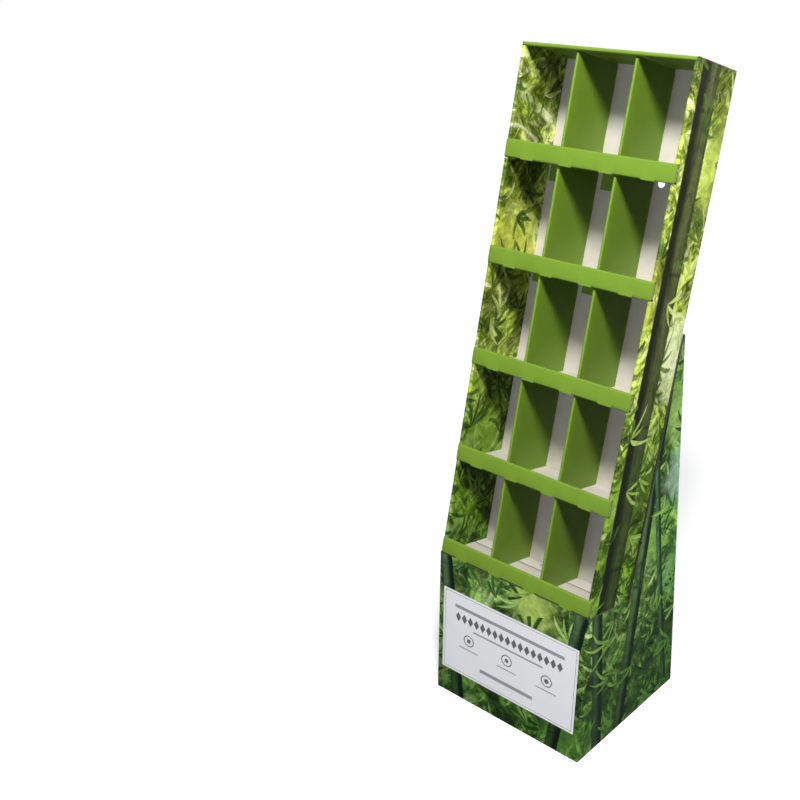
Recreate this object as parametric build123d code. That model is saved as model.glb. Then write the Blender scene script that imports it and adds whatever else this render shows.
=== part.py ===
from build123d import *
import os
from math import asin, atan2, cos, degrees, hypot, radians, sin

# A free-standing display stand folded from corrugated board, in millimetres.
# A printed sleeve is the plinth. A tower of five shelves leans back out of it.
# +Z is up, +Y is to the back, and X runs across the front.
# The origin is under the middle of the whole stand, at floor level.
# The tower's pieces are drawn in its own leaning frame: X across, Y its depth, Z its slant height.

# Board, paper and fits
BOARD = 3.0  # one thickness of corrugated board
PAPER = 0.3  # label paper
FOLD = 2.4  # outside radius of a folded edge
FIT = 0.2  # room between two boards that slide past each other
CUT = 0.4  # room at a cut edge that stops just short of a board
REACH = 60.0  # how far a cutting block runs past what it cuts

# Plinth
PLINTH_WIDTH = 400.0
PLINTH_DEPTH = 400.0
PLINTH_FRONT = 370.0  # height of the front panel
WING_LENGTH = 590.0  # side panels' slanted edge, from the seat up the tower's back
WING_GAP = 0.6  # between the tower's back and the slanted edge
GLUE_FLAP_WIDTH = 35.0
GLUE_FLAP_LOW = 300.0
GLUE_FLAP_HIGH = 600.0
GLUE_FLAP_SLANT = 17.0  # how much shorter the flap's free edge is at each end
NOTCH_HEIGHT = 134.0  # up the slanted edge from the seat
NOTCH_SIZE = 5.0

# Tower
LEAN = radians(11.4)
SETBACK = 1.0  # tower's front edge behind the plinth's front face
TOWER_DEPTH = 161.0
PITCH = 221.0  # from one shelf to the next
ROWS = 5
PLY_GAP = 2.2  # between the layers of a doubled wall
SUNK = 80.0  # the walls' length inside the plinth
HOLE_RADIUS = 9.0  # finger hole in the back panel
HOLE_ACROSS = 85.0
HOLE_BELOW_SHELF = 8.0  # hole's centre under the floor of its shelf
HOLE_ROW = 4  # shelf that the hole lies under, counted from 0 at the bottom

# Cap
CAP_HEM = 8.0  # height of the doubled front edge
CAP_HEM_GAP = 1.0  # between the hem's two layers
CAP_FALL = 8.0  # drop of the cap over the tower's depth, besides the lean
CAP_FLANGE = 7.0  # rear flange below the cap's upper face

# Shelves
LIP_HEIGHT = 37.0
LIP_GAP = 1.0  # between the lip's two layers
LIP_PROUD = 1.0  # lip's face ahead of the walls' front edges
LIP_INSET = 0.4  # lip's end inside the tower's outer face
LOCK_WIDTH = 30.0  # tabs of the lip's inner layer, through the floor
LOCK_DROP = 2.5
LOCK_PLACES = (-140.0, -47.0, 47.0, 140.0)
SIDE_TAB_FRONT = 45.0
SIDE_TAB_BACK = 115.0
SIDE_TAB_REACH = 4.0
FLANGE_DROP = 41.0  # rear flange below the floor
FLANGE_SPANS = ((-182.0, -81.0), (-51.0, 51.0))
CREASE_DEPTH = 113.0  # score line in the bottom shelf's floor
CREASE_WIDTH = 1.2
CREASE_SINK = 1.0
EYE_ACROSS = -14.5  # small slot in the bottom shelf's floor
EYE_BACK = 14.0  # its distance from the floor's rear edge
EYE_LENGTH = 8.0
EYE_WIDTH = 3.0

# Dividers
DIVIDER_PLACES = {"left": -66.0, "right": 66.0}
DIVIDER_GAP = 0.4  # between the divider's two layers
DIVIDER_CLEAR = 0.3  # to the lip in front and the shelf above
DIVIDER_NOSE = 5.0  # radius of the top front corner
DIVIDER_CHAMFER = 9.0  # cut off the top rear corner
FOOT_FRONT = 62.0
FOOT_BACK = 100.0
FOOT_SLOT_SPARE = 6.0  # slot's length behind the foot

# Front label
LABEL_LEFT = 14.5  # bare board beside the label
LABEL_RIGHT = 16.7
LABEL_LOW = 66.8
LABEL_HIGH = 285.0

# Sizes that follow
FRONT = -(PLINTH_DEPTH - PAPER) / 2
SLEEVE_HALF = PLINTH_WIDTH / 2
TOWER_HALF = SLEEVE_HALF - BOARD - FIT
WALL = 2 * BOARD + PLY_GAP
POCKET_HALF = TOWER_HALF - WALL
BACK_FACE = TOWER_DEPTH - BOARD
SLANT = ROWS * PITCH + CAP_HEM
LIP_FRONT = -LIP_PROUD
LIP_BACK = LIP_FRONT + 2 * BOARD + LIP_GAP
FLOOR_BACK = BACK_FACE - FIT
DIVIDER_THICK = 2 * BOARD + DIVIDER_GAP
CAP_SLOPE = CAP_FALL / TOWER_DEPTH
CAP_TILT = atan2(CAP_FALL, TOWER_DEPTH)
HEM_DEPTH = 2 * BOARD + CAP_HEM_GAP
HEEL = (FRONT + PLINTH_DEPTH, 0.0)  # (y, z) of the plinth's lower rear edge

LEANING = Plane(
    origin=(0, FRONT + SETBACK, PLINTH_FRONT),
    x_dir=(1, 0, 0),
    z_dir=(0, sin(LEAN), cos(LEAN)),
)


# Small helpers
def block(x_low, x_high, y_low, y_high, z_low, z_high):
    """Box between two corners."""
    size = Box(x_high - x_low, y_high - y_low, z_high - z_low, align=(Align.MIN,) * 3)
    return Pos(x_low, y_low, z_low) * size


def slab(outline, x_low, x_high):
    """Board or prism with an outline of (y, z) points, from x_low to x_high."""
    corners = [(x_low, y, z) for y, z in outline]
    face = make_face(Polyline(*corners, close=True))
    return extrude(face, amount=x_high - x_low, dir=(1, 0, 0))


def edges_across(shape, y, z):
    """Edges that run along X through the point (y, z)."""
    return [
        edge
        for edge in shape.edges().filter_by(Axis.X)
        if hypot(edge.center().Y - y, edge.center().Z - z) < FIT / 2
    ]


def stand_point(depth, up):
    """(y, z) in the stand of a point in the tower's leaning frame."""
    y = FRONT + SETBACK + up * sin(LEAN) + depth * cos(LEAN)
    z = PLINTH_FRONT + up * cos(LEAN) - depth * sin(LEAN)
    return y, z


def depth_at(y, up):
    """Depth in the leaning frame where the height up meets the stand's y."""
    return (y - FRONT - SETBACK - up * sin(LEAN)) / cos(LEAN)


def cap_top(depth):
    """Slant height of the cap's upper face at a depth."""
    return SLANT - CAP_SLOPE * depth


# Plinth sleeve: one printed sheet, folded round the base and closed by a glue flap
def wing_line():
    """Side panels' slanted edge as (y, z) points, from the seat upwards."""
    depth = TOWER_DEPTH + WING_GAP
    return stand_point(depth, -FIT), stand_point(depth, WING_LENGTH)


def back_line():
    """Unit direction and length of the back panel's outer face, from the heel to its top."""
    top = wing_line()[1]
    rise, run = top[1] - HEEL[1], top[0] - HEEL[0]
    reach = hypot(rise, run)
    angle = atan2(rise, run) - asin(BOARD / reach)
    return (cos(angle), sin(angle)), (reach**2 - BOARD**2) ** 0.5


def back_point(along, inset):
    """(y, z) of a point along the back panel from the heel, inset from its outer face."""
    direction, _ = back_line()
    y = HEEL[0] + along * direction[0] - inset * direction[1]
    z = HEEL[1] + along * direction[1] + inset * direction[0]
    return y, z


def glue_flap():
    """The sheet's last flap, stuck to the inside of the right wing, with slanted ends."""
    root, free = BOARD, BOARD + GLUE_FLAP_WIDTH
    outline = [
        back_point(GLUE_FLAP_LOW, root),
        back_point(GLUE_FLAP_HIGH, root),
        back_point(GLUE_FLAP_HIGH - GLUE_FLAP_SLANT, free),
        back_point(GLUE_FLAP_LOW + GLUE_FLAP_SLANT, free),
    ]
    outer = SLEEVE_HALF - BOARD - FIT / 2
    return slab(outline, outer - BOARD, outer)


def plinth_sleeve():
    _, length = back_line()
    seat_back, wing_top = wing_line()
    seat_front = stand_point(depth_at(FRONT, -FIT), -FIT)
    outline = [(FRONT, 0.0), HEEL, back_point(length, 0), wing_top, seat_back, seat_front]
    outside = slab(outline, -SLEEVE_HALF, SLEEVE_HALF)
    folds = [
        edge
        for edge in outside.edges()
        if edge.length > length - BOARD or abs(edge.center().Y - FRONT) < FIT
        if abs(abs(edge.center().X) - SLEEVE_HALF) < FIT
    ]
    outside = fillet(folds, FOLD)

    low, high = back_point(-REACH, BOARD), back_point(length + REACH, BOARD)
    front = FRONT + BOARD
    inside = SLEEVE_HALF - BOARD
    room = slab([(front, low[1]), low, high, (front, high[1])], -inside, inside)
    sleeve = outside - room
    notch_y, notch_z = stand_point(TOWER_DEPTH + WING_GAP, NOTCH_HEIGHT)
    for side in (-1, 1):
        place = Pos(side * SLEEVE_HALF, notch_y, notch_z) * Rot(X=-degrees(LEAN))
        sleeve -= place * Box(REACH, NOTCH_SIZE, NOTCH_SIZE)
    return sleeve + glue_flap()


# Plinth insert: a folded ring of board that stands inside the sleeve and carries the tower
def plinth_insert():
    direction, _ = back_line()
    front = FRONT + BOARD + FIT
    carry = -SUNK
    under_back = stand_point(TOWER_DEPTH, carry)
    under_front = stand_point(depth_at(front, carry), carry)
    slope = direction[0] / direction[1]
    rear = HEEL[0] + under_back[1] * slope - (BOARD + FIT) / direction[1]
    outline = [(front, 0.0), (rear, 0.0), (rear, under_back[1]), under_back, under_front]
    outside = slab(outline, -TOWER_HALF, TOWER_HALF)
    uprights = [
        edge
        for edge in outside.edges().filter_by(Axis.Z)
        if abs(abs(edge.center().X) - TOWER_HALF) < FIT
    ]
    outside = fillet(uprights, FOLD)
    inside = TOWER_HALF - BOARD
    return outside - block(-inside, inside, front + BOARD, rear - BOARD, -REACH, PLINTH_FRONT)


# Tower shell: one printed sheet with a single back and doubled, hollow side walls
def shell_section():
    """The sheet cut across, with its front folds and the inner layers' free ends."""
    whole = Pos(0, TOWER_DEPTH / 2) * Rectangle(2 * TOWER_HALF, TOWER_DEPTH)
    whole = fillet(whole.vertices(), FOLD)
    section = whole - Pos(0, BACK_FACE - TOWER_DEPTH) * Rectangle(2 * POCKET_HALF, 2 * TOWER_DEPTH)
    inner_folds = [v for v in section.vertices() if v.Y < FIT and abs(abs(v.X) - POCKET_HALF) < FIT]
    section = fillet(inner_folds, FOLD)
    for side in (-1, 1):
        hollow = Rectangle(PLY_GAP, BACK_FACE - BOARD)
        section -= Pos(side * (TOWER_HALF - BOARD - PLY_GAP / 2), (BACK_FACE + BOARD) / 2) * hollow
        slit = Rectangle(WALL - BOARD, CUT)
        section -= Pos(side * (POCKET_HALF + (WALL - BOARD) / 2), BACK_FACE - CUT / 2) * slit
    return section


def plinth_front_cut():
    """Clears the walls' sunk ends from the plinth's front panel."""
    limit = FRONT + BOARD + FIT
    deep = -SUNK - REACH
    outline = [(-REACH, 0.0), (depth_at(limit, 0.0), 0.0), (depth_at(limit, deep), deep), (-REACH, deep)]
    return slab(outline, -SLEEVE_HALF, SLEEVE_HALF)


def cap_cut():
    """Trims the walls to the cap's upper face, and their inner layers to its underside and hem."""

    def above(drop, low, high):
        """Everything over a line this far below the cap's upper face, from low to high in depth."""
        line = drop / cos(CAP_TILT)
        bottom = [(low, cap_top(low) - line), (high, cap_top(high) - line)]
        return bottom + [(high, SLANT + REACH), (low, SLANT + REACH)]

    inside = TOWER_HALF - BOARD
    top = slab(above(0, -REACH, TOWER_DEPTH + REACH), -SLEEVE_HALF, SLEEVE_HALF)
    seat = slab(above(BOARD, -REACH, BACK_FACE), -inside, inside)
    hem_room = slab(above(CAP_HEM, -REACH, HEM_DEPTH + FIT), -inside, inside)
    return top + seat + hem_room


def tower_shell():
    height = SLANT + SUNK
    shell = Pos(0, 0, -SUNK) * extrude(shell_section(), amount=height, dir=(0, 0, 1))
    shell -= plinth_front_cut()
    shell -= cap_cut()
    slot_half = TOWER_HALF - BOARD
    for row in range(ROWS):
        low = row * PITCH
        lip_top = low + LIP_HEIGHT + FIT
        shell -= block(-SLEEVE_HALF, SLEEVE_HALF, -REACH, LIP_BACK + FIT, low - FIT, lip_top)
        slot = (SIDE_TAB_FRONT - FIT, SIDE_TAB_BACK + FIT, low - FIT, low + BOARD + FIT)
        shell -= block(-slot_half, slot_half, *slot)
    hole = Cylinder(HOLE_RADIUS, REACH, rotation=(90, 0, 0))
    hole_height = HOLE_ROW * PITCH - HOLE_BELOW_SHELF
    shell -= Pos(HOLE_ACROSS, TOWER_DEPTH - BOARD / 2, hole_height) * hole
    return LEANING.location * shell


# Cap: a panel between the outer walls, with a doubled front hem and a rear flange
def top_cap():
    length = FLOOR_BACK / cos(CAP_TILT)
    half = TOWER_HALF - BOARD - FIT
    inside = POCKET_HALF - FIT
    hem = slab([(0, 0), (HEM_DEPTH, 0), (HEM_DEPTH, -CAP_HEM), (0, -CAP_HEM)], -half, half)
    folds = edges_across(hem, 0, 0)
    folds += edges_across(hem, 0, -CAP_HEM) + edges_across(hem, HEM_DEPTH, -CAP_HEM)
    hem = fillet(folds, FOLD)
    hem -= block(-SLEEVE_HALF, SLEEVE_HALF, BOARD, HEM_DEPTH - BOARD, BOARD - CAP_HEM, -BOARD)
    hem -= block(-SLEEVE_HALF, SLEEVE_HALF, BOARD, HEM_DEPTH + FIT, -BOARD - CUT, -BOARD)
    panel = hem + block(-half, half, BOARD, length, -BOARD, 0)
    panel += block(-inside, inside, length - BOARD, length, -CAP_FLANGE, 0)
    place = Location((0, 0, SLANT), (-degrees(CAP_TILT), 0, 0))
    return LEANING.location * (place * panel)


# Shelf: one sheet with a doubled front lip, side tabs and a rear flange
def shelf_lip():
    """The doubled lip, its inner layer's cut edge just over the floor."""
    half = TOWER_HALF - LIP_INSET
    outline = [(LIP_FRONT, 0), (LIP_BACK, 0), (LIP_BACK, LIP_HEIGHT), (LIP_FRONT, LIP_HEIGHT)]
    lip = slab(outline, -half, half)
    folds = edges_across(lip, LIP_FRONT, 0)
    folds += edges_across(lip, LIP_FRONT, LIP_HEIGHT) + edges_across(lip, LIP_BACK, LIP_HEIGHT)
    lip = fillet(folds, FOLD)
    front_layer = LIP_FRONT + BOARD
    lip -= block(-SLEEVE_HALF, SLEEVE_HALF, front_layer, LIP_BACK - BOARD, -FIT, LIP_HEIGHT - BOARD)
    lip -= block(-SLEEVE_HALF, SLEEVE_HALF, front_layer, LIP_BACK + FIT, -FIT, BOARD + CUT)
    return lip


def shelf_floor():
    """The floor with its side tabs, the slots that the tabs and the dividers' feet go through."""
    half = POCKET_HALF - FIT
    floor = block(-half, half, LIP_FRONT + FOLD, FLOOR_BACK, 0, BOARD)
    tab = half + SIDE_TAB_REACH
    floor += block(-tab, tab, SIDE_TAB_FRONT, SIDE_TAB_BACK, 0, BOARD)
    front_layer = LIP_FRONT + BOARD
    for place in LOCK_PLACES:
        spare = LOCK_WIDTH / 2 + FIT
        floor -= block(place - spare, place + spare, front_layer, LIP_BACK + FIT, -FIT, BOARD + FIT)
    for place in DIVIDER_PLACES.values():
        spare = DIVIDER_THICK / 2 + FIT
        slot_back = FOOT_BACK + FOOT_SLOT_SPARE
        floor -= block(place - spare, place + spare, FOOT_FRONT - FIT, slot_back, -FIT, BOARD + FIT)
    return floor


def shelf(row):
    """The shelf of a row, counted from 0 at the bottom."""
    sheet = shelf_lip() + shelf_floor()
    for place in LOCK_PLACES:
        low, high = place - LOCK_WIDTH / 2, place + LOCK_WIDTH / 2
        sheet += block(low, high, LIP_BACK - BOARD, LIP_BACK, -LOCK_DROP, 2 * BOARD)
    for low, high in FLANGE_SPANS:
        flange = block(low, high, FLOOR_BACK - BOARD, FLOOR_BACK, -FLANGE_DROP, BOARD)
        corners = flange.edges().filter_by(Axis.Y).sort_by(Axis.Z)[:2]
        sheet += fillet(corners, FOLD)
    if row == 0:
        half = POCKET_HALF - FIT
        crease_back = CREASE_DEPTH + CREASE_WIDTH
        sheet -= block(-half, half, CREASE_DEPTH, crease_back, BOARD - CREASE_SINK, 2 * BOARD)
        eye_back = FLOOR_BACK - EYE_BACK + EYE_WIDTH
        sheet -= block(EYE_ACROSS, EYE_ACROSS + EYE_LENGTH, eye_back - EYE_WIDTH, eye_back, -FIT, 2 * BOARD)
    return LEANING.location * (Pos(0, 0, row * PITCH) * sheet)


# Divider: a sheet folded at its front edge, standing on a shelf between lip and back panel
def divider(row, across):
    """The divider of a row, counted from 0 at the bottom, at its place across."""
    front = LIP_BACK + DIVIDER_CLEAR
    back = BACK_FACE - CUT
    half = DIVIDER_THICK / 2

    def top(depth):
        """Height over the shelf's underside at a depth."""
        under_cap = cap_top(depth) - CAP_HEM / cos(CAP_TILT) - row * PITCH
        return (under_cap if row == ROWS - 1 else PITCH) - DIVIDER_CLEAR

    shoulder = back - DIVIDER_CHAMFER
    outline = [
        (front, BOARD),
        (back, BOARD),
        (back, top(back) - DIVIDER_CHAMFER),
        (shoulder, top(shoulder)),
        (front, top(front)),
    ]
    sheet = slab(outline, -half, half)
    sheet = fillet(edges_across(sheet, front, top(front)), DIVIDER_NOSE)
    nose_folds = [edge for edge in sheet.edges().filter_by(Axis.Z) if edge.center().Y < front + FIT]
    sheet = fillet(nose_folds, half - FIT)
    sheet += block(-half, half, FOOT_FRONT, FOOT_BACK, FIT, BOARD + FIT)
    gap_half = DIVIDER_GAP / 2
    sheet -= block(-gap_half, gap_half, front + BOARD, back + REACH, -REACH, PITCH + REACH)
    return LEANING.location * (Pos(across, 0, row * PITCH) * sheet)


# Front label: a paper sheet glued to the plinth's front panel
def front_label():
    left, right = LABEL_LEFT - SLEEVE_HALF, SLEEVE_HALF - LABEL_RIGHT
    return block(left, right, FRONT - PAPER, FRONT, LABEL_LOW, LABEL_HIGH)


def build():
    """Every piece of the stand by its name."""
    pieces = {
        "plinth_sleeve": plinth_sleeve(),
        "plinth_insert": plinth_insert(),
        "tower_shell": tower_shell(),
        "top_cap": top_cap(),
        "front_label": front_label(),
    }
    for row in range(ROWS):
        pieces[f"shelf_{row + 1}"] = shelf(row)
        for side, across in DIVIDER_PLACES.items():
            pieces[f"divider_{row + 1}_{side}"] = divider(row, across)
    return pieces


os.makedirs("parts", exist_ok=True)
for name, piece in build().items():
    export_step(piece, f"parts/{name}.step")
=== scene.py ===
"""A free-standing cardboard display stand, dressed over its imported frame.

Each sheet of corrugated board is drawn flat, as it leaves the cutter, and is then folded up, so that
its print runs round the folds as it does on the real thing. Sizes are millimetres until a mesh is made.
"""
import logging
import math
from dataclasses import dataclass, field
from enum import Enum

import bpy
import numpy as np
from mathutils import Matrix, Vector
from mathutils.geometry import delaunay_2d_cdt


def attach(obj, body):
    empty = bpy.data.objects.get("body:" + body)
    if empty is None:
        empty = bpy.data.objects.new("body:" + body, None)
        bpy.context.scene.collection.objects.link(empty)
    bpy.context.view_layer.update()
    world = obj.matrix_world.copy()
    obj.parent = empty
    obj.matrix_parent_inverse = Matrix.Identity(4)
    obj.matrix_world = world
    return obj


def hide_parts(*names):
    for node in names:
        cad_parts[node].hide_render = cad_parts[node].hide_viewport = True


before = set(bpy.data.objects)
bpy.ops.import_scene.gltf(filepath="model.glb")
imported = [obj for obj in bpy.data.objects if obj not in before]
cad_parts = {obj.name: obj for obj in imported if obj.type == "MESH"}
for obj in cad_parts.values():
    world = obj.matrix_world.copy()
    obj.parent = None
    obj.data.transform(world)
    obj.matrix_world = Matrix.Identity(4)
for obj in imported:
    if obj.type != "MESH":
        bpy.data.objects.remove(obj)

log = logging.getLogger("display stand")

Point = tuple[float, float]
Triple = tuple[float, float, float]
Material = bpy.types.Material
Tree = bpy.types.NodeTree
Node = bpy.types.Node
Socket = Node | bpy.types.NodeSocket  # a node stands for its first output in use
Axes = tuple[Socket, Socket]

# Units, board and folds
MM = 0.001
BOARD = 3.0  # one thickness of corrugated board
LINER = 0.35  # its two outer papers
FLUTE = 6.35  # length of one wave of its medium
BEND = 3.4  # outside radius of a fold
QUARTER = (BEND - BOARD / 2) * math.pi / 2  # length of flat sheet that a square fold takes up
RECESS = 1.5  # how deep one sees into a cut edge
SMALL = 0.05  # a length too small to see
SLIT = 1.0  # width of a cut beside a flap

# The tower's leaning frame
LEAN = math.radians(11.4)
ACROSS = np.array([1.0, 0.0, 0.0])
BACKWARDS = np.array([0.0, 1.0, 0.0])
UPWARDS = np.array([0.0, 0.0, 1.0])
DEPTH = np.array([0.0, math.cos(LEAN), -math.sin(LEAN)])
SLANT = np.array([0.0, math.sin(LEAN), math.cos(LEAN)])
FRONT = -199.85
SEAT = np.array([0.0, FRONT + 1.0, 370.0])

# The tower's main sizes, which its shelves, dividers and cap share
TOWER_HALF = 196.8
TOWER_DEPTH = 161.0
WALL = 8.2
POCKET_HALF = TOWER_HALF - WALL
PITCH = 221.0
ROWS = 5
TOWER_HEIGHT = 1113.0
CAP_FALL = 8.0
CAP_TILT = math.atan2(CAP_FALL, TOWER_DEPTH)
CAP_HEM = 8.0
HEM_DROP = CAP_HEM / math.cos(CAP_TILT)
LIP_HEIGHT = 37.0
LIP_BACK = 6.0
FIT = 0.2  # play between neighbouring pieces
DIVIDER_PLACES = {"left": -66.0, "right": 66.0}


class Face(Enum):
    """Sides of a sheet; each value is the material slot that the side takes."""

    PRINTED = 0
    PLAIN = 1
    CUT = 2
    # The recess inside a cut edge; its finish is near-black painted shade for the depth of the flutes.
    CAVITY = 3


class Op(Enum):
    """What a node does: its type name, its settings, and the sockets that unnamed inputs go to."""

    PLUS = "ShaderNodeMath", {"operation": "ADD"}
    MINUS = "ShaderNodeMath", {"operation": "SUBTRACT"}
    TIMES = "ShaderNodeMath", {"operation": "MULTIPLY"}
    OVER = "ShaderNodeMath", {"operation": "DIVIDE"}
    SHARE = "ShaderNodeMath", {"operation": "DIVIDE", "use_clamp": True}
    TIMES_PLUS = "ShaderNodeMath", {"operation": "MULTIPLY_ADD"}
    MODULO = "ShaderNodeMath", {"operation": "FLOORED_MODULO"}
    POWER = "ShaderNodeMath", {"operation": "POWER"}
    SINE = "ShaderNodeMath", {"operation": "SINE"}
    ANGLE = "ShaderNodeMath", {"operation": "ARCTAN2"}
    FLOOR = "ShaderNodeMath", {"operation": "FLOOR"}
    FRACTION = "ShaderNodeMath", {"operation": "FRACT"}
    ABSOLUTE = "ShaderNodeMath", {"operation": "ABSOLUTE"}
    LESS = "ShaderNodeMath", {"operation": "LESS_THAN"}
    GREATER = "ShaderNodeMath", {"operation": "GREATER_THAN"}
    GREATEST = "ShaderNodeMath", {"operation": "MAXIMUM"}
    VECTOR_PLUS = "ShaderNodeVectorMath", {"operation": "ADD"}
    VECTOR_MINUS = "ShaderNodeVectorMath", {"operation": "SUBTRACT"}
    VECTOR_TIMES = "ShaderNodeVectorMath", {"operation": "SCALE"}, (0, "Scale")
    VECTOR_LEAST = "ShaderNodeVectorMath", {"operation": "MINIMUM"}
    LENGTH = "ShaderNodeVectorMath", {"operation": "LENGTH"}
    DISTANCE = "ShaderNodeVectorMath", {"operation": "DISTANCE"}
    MIX = "ShaderNodeMix", {"data_type": "RGBA"}, (0, 6, 7)
    TINT = "ShaderNodeMix", {"data_type": "RGBA", "blend_type": "MULTIPLY"}, (0, 6, 7)
    BETWEEN = "ShaderNodeMix", {"data_type": "FLOAT"}, (0, 2, 3)
    RANGE = "ShaderNodeMapRange", {}
    SMOOTH = "ShaderNodeMapRange", {"interpolation_type": "SMOOTHSTEP"}
    JOINED = "ShaderNodeCombineXYZ", {}
    PARTS = "ShaderNodeSeparateXYZ", {}
    COLOUR_PARTS = "ShaderNodeSeparateColor", {}
    MAPPING = "ShaderNodeMapping", {}
    INVERSE_MAPPING = "ShaderNodeMapping", {"vector_type": "TEXTURE"}
    NOISE = "ShaderNodeTexNoise", {}
    FLAT_NOISE = "ShaderNodeTexNoise", {"noise_dimensions": "2D"}
    LOTS = "ShaderNodeTexWhiteNoise", {"noise_dimensions": "3D"}
    CELLS = "ShaderNodeTexVoronoi", {"voronoi_dimensions": "2D"}
    BUMP = "ShaderNodeBump", {}
    ATTRIBUTE = "ShaderNodeAttribute", {}
    GROUP = "ShaderNodeGroup", {}


def cap_top(depth: float) -> float:
    """Slant height of the cap's upper face at a depth."""
    return TOWER_HEIGHT - CAP_FALL / TOWER_DEPTH * depth


def colour(code: str) -> tuple[float, float, float, float]:
    """Turns an sRGB hex colour, six digits after a hash sign, into linear RGBA with full alpha."""
    parts = [int(code[i : i + 2], 16) / 255 for i in (1, 3, 5)]
    linear = [c / 12.92 if c <= 0.04045 else ((c + 0.055) / 1.055) ** 2.4 for c in parts]
    return (linear[0], linear[1], linear[2], 1.0)


def add(tree: Tree, kind: Op | str, *inputs: object, settings: dict | None = None, **named: object) -> Node:
    """Adds a node with its settings and links.

    Args:
        tree: Tree that takes the node.
        kind: What the node does, or its type name.
        inputs: Values, hex colours, or nodes and sockets to link from, for the first sockets.
        settings: Further properties of the node and their values.
        named: Inputs by their sockets' names, with low lines for blanks.

    Returns:
        The new node.
    """
    name, fixed, *order = kind.value if isinstance(kind, Op) else (kind, {})
    node = tree.nodes.new(name)
    for key, value in {**fixed, **(settings or {})}.items():
        setattr(node, key, value)
    wanted = dict(zip(order[0] if order else range(len(inputs)), inputs))
    wanted |= {key.replace("_", " "): value for key, value in named.items()}
    for key, value in wanted.items():
        if isinstance(value, Node):
            value = next(socket for socket in value.outputs if socket.enabled)
        if isinstance(value, bpy.types.NodeSocket):
            tree.links.new(value, node.inputs[key])
        else:
            is_code = isinstance(value, str) and value.startswith("#")
            node.inputs[key].default_value = colour(value) if is_code else value
    return node


# Folding kit
BEYOND = 50.0  # a distance past a fold where no sheet is bent any more


def directions(start: Point, end: Point) -> tuple[np.ndarray, np.ndarray, float]:
    """Unit vectors along a line and to its right, and the line's length."""
    length = math.dist(start, end)
    along = np.subtract(end, start) / length
    return along, np.array([along[1], -along[0]]), length


def unit(ways: np.ndarray) -> np.ndarray:
    """Brings each row to the length one, and leaves a row of zeros as it is."""
    least = 1e-9
    return ways / np.maximum(np.linalg.norm(ways, axis=1), least)[:, None]


@dataclass(frozen=True)
class Fold:
    """A fold line on a flat sheet. What lies to the right of start to end turns by the angle.

    A positive angle turns towards the plain side. A limited fold acts only between its two ends.
    """

    start: Point
    end: Point
    angle: float = 90.0
    radius: float = BEND
    limited: bool = False
    tongues: tuple[Point, ...] = ()  # spans along the line where slits let the sheet beyond stay straight
    tongue: float = 1.2  # how far a tongue reaches back over the line
    slack: float = SMALL  # for points that lie on an end of the line

    def axes(self) -> tuple[np.ndarray, np.ndarray, float]:
        """Unit vectors along the line and beyond it, and the line's length."""
        return directions(self.start, self.end)

    def arc(self, board: float) -> float:
        """Length of flat sheet that goes into the bend, for a board's thickness."""
        return (self.radius - board / 2) * math.radians(abs(self.angle))

    def reach(self, flat: np.ndarray) -> tuple[np.ndarray, np.ndarray]:
        """How far points of the flat sheet lie beyond the line, and which of them it moves.

        Args:
            flat: Points on the flat sheet.

        Returns:
            Distances beyond the line, and a mask of the points that turn.
        """
        along, beyond, length = self.axes()
        past = (flat - self.start) @ beyond
        place = (flat - self.start) @ along
        moved = past > 0
        if self.limited:
            moved &= (place > -self.slack) & (place < length + self.slack)
        for low, high in self.tongues:
            near = (past > -self.tongue - 2 * self.slack) & (past < BEYOND)
            straight = (place > low) & (place < high) & near
            moved |= straight
            past = np.where(straight, np.maximum(past, BEYOND), past)
        return past, moved

    def turn(self, flat: np.ndarray, points: np.ndarray, board: float) -> np.ndarray:
        """Folds the sheet's points about this line.

        Args:
            flat: Where each point lies on the flat sheet.
            points: Where the points are now, with their height over the printed side.
            board: Thickness of the sheet.

        Returns:
            The points after the fold.
        """
        _, beyond, _ = self.axes()
        past, moved = self.reach(flat)
        arc = self.arc(board)
        share = np.clip(past / arc, 0, 1)
        bend = math.radians(abs(self.angle)) * share
        now = (points[:, :2] - self.start) @ beyond
        rest = now - arc * share
        height = points[:, 2]
        if self.angle > 0:
            ahead = (self.radius - height) * np.sin(bend) + rest * np.cos(bend)
            up = self.radius - (self.radius - height) * np.cos(bend) + rest * np.sin(bend)
        else:
            inner = self.radius - board
            ahead = (inner + height) * np.sin(bend) + rest * np.cos(bend)
            up = -inner + (inner + height) * np.cos(bend) - rest * np.sin(bend)
        folded = points.copy()
        folded[:, :2] += (ahead - now)[:, None] * beyond
        folded[:, 2] = up
        return np.where(moved[:, None], folded, points)


def divided(points: list[Point], step: float, close: bool) -> list[Point]:
    """Adds points to a line so that no run between two is longer than a step.

    Args:
        points: Corners of the line.
        step: Longest run allowed.
        close: Whether the line returns to its first point.

    Returns:
        The corners and the points between them.
    """
    line: list[Point] = []
    ends = points[1:] + points[:1] if close else points[1:]
    for (au, av), (bu, bv) in zip(points, ends):
        count = max(1, math.ceil(math.dist((au, av), (bu, bv)) / step))
        line += [(au + (bu - au) * i / count, av + (bv - av) * i / count) for i in range(count)]
    return line if close else line + [points[-1]]


def inside(loop: list[Point], points: np.ndarray) -> np.ndarray:
    """Tells which points lie inside a closed outline."""
    hit = np.zeros(len(points), dtype=bool)
    for (ax, ay), (bx, by) in zip(loop, loop[1:] + loop[:1]):
        if ay == by:
            continue
        crosses = (ay > points[:, 1]) != (by > points[:, 1])
        hit ^= crosses & (points[:, 0] < (bx - ax) * (points[:, 1] - ay) / (by - ay) + ax)
    return hit


def rectangle(u_low: float, u_high: float, v_low: float, v_high: float) -> list[Point]:
    """Four corners of a rectangle on the flat sheet."""
    return [(u_low, v_low), (u_high, v_low), (u_high, v_high), (u_low, v_high)]


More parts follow.
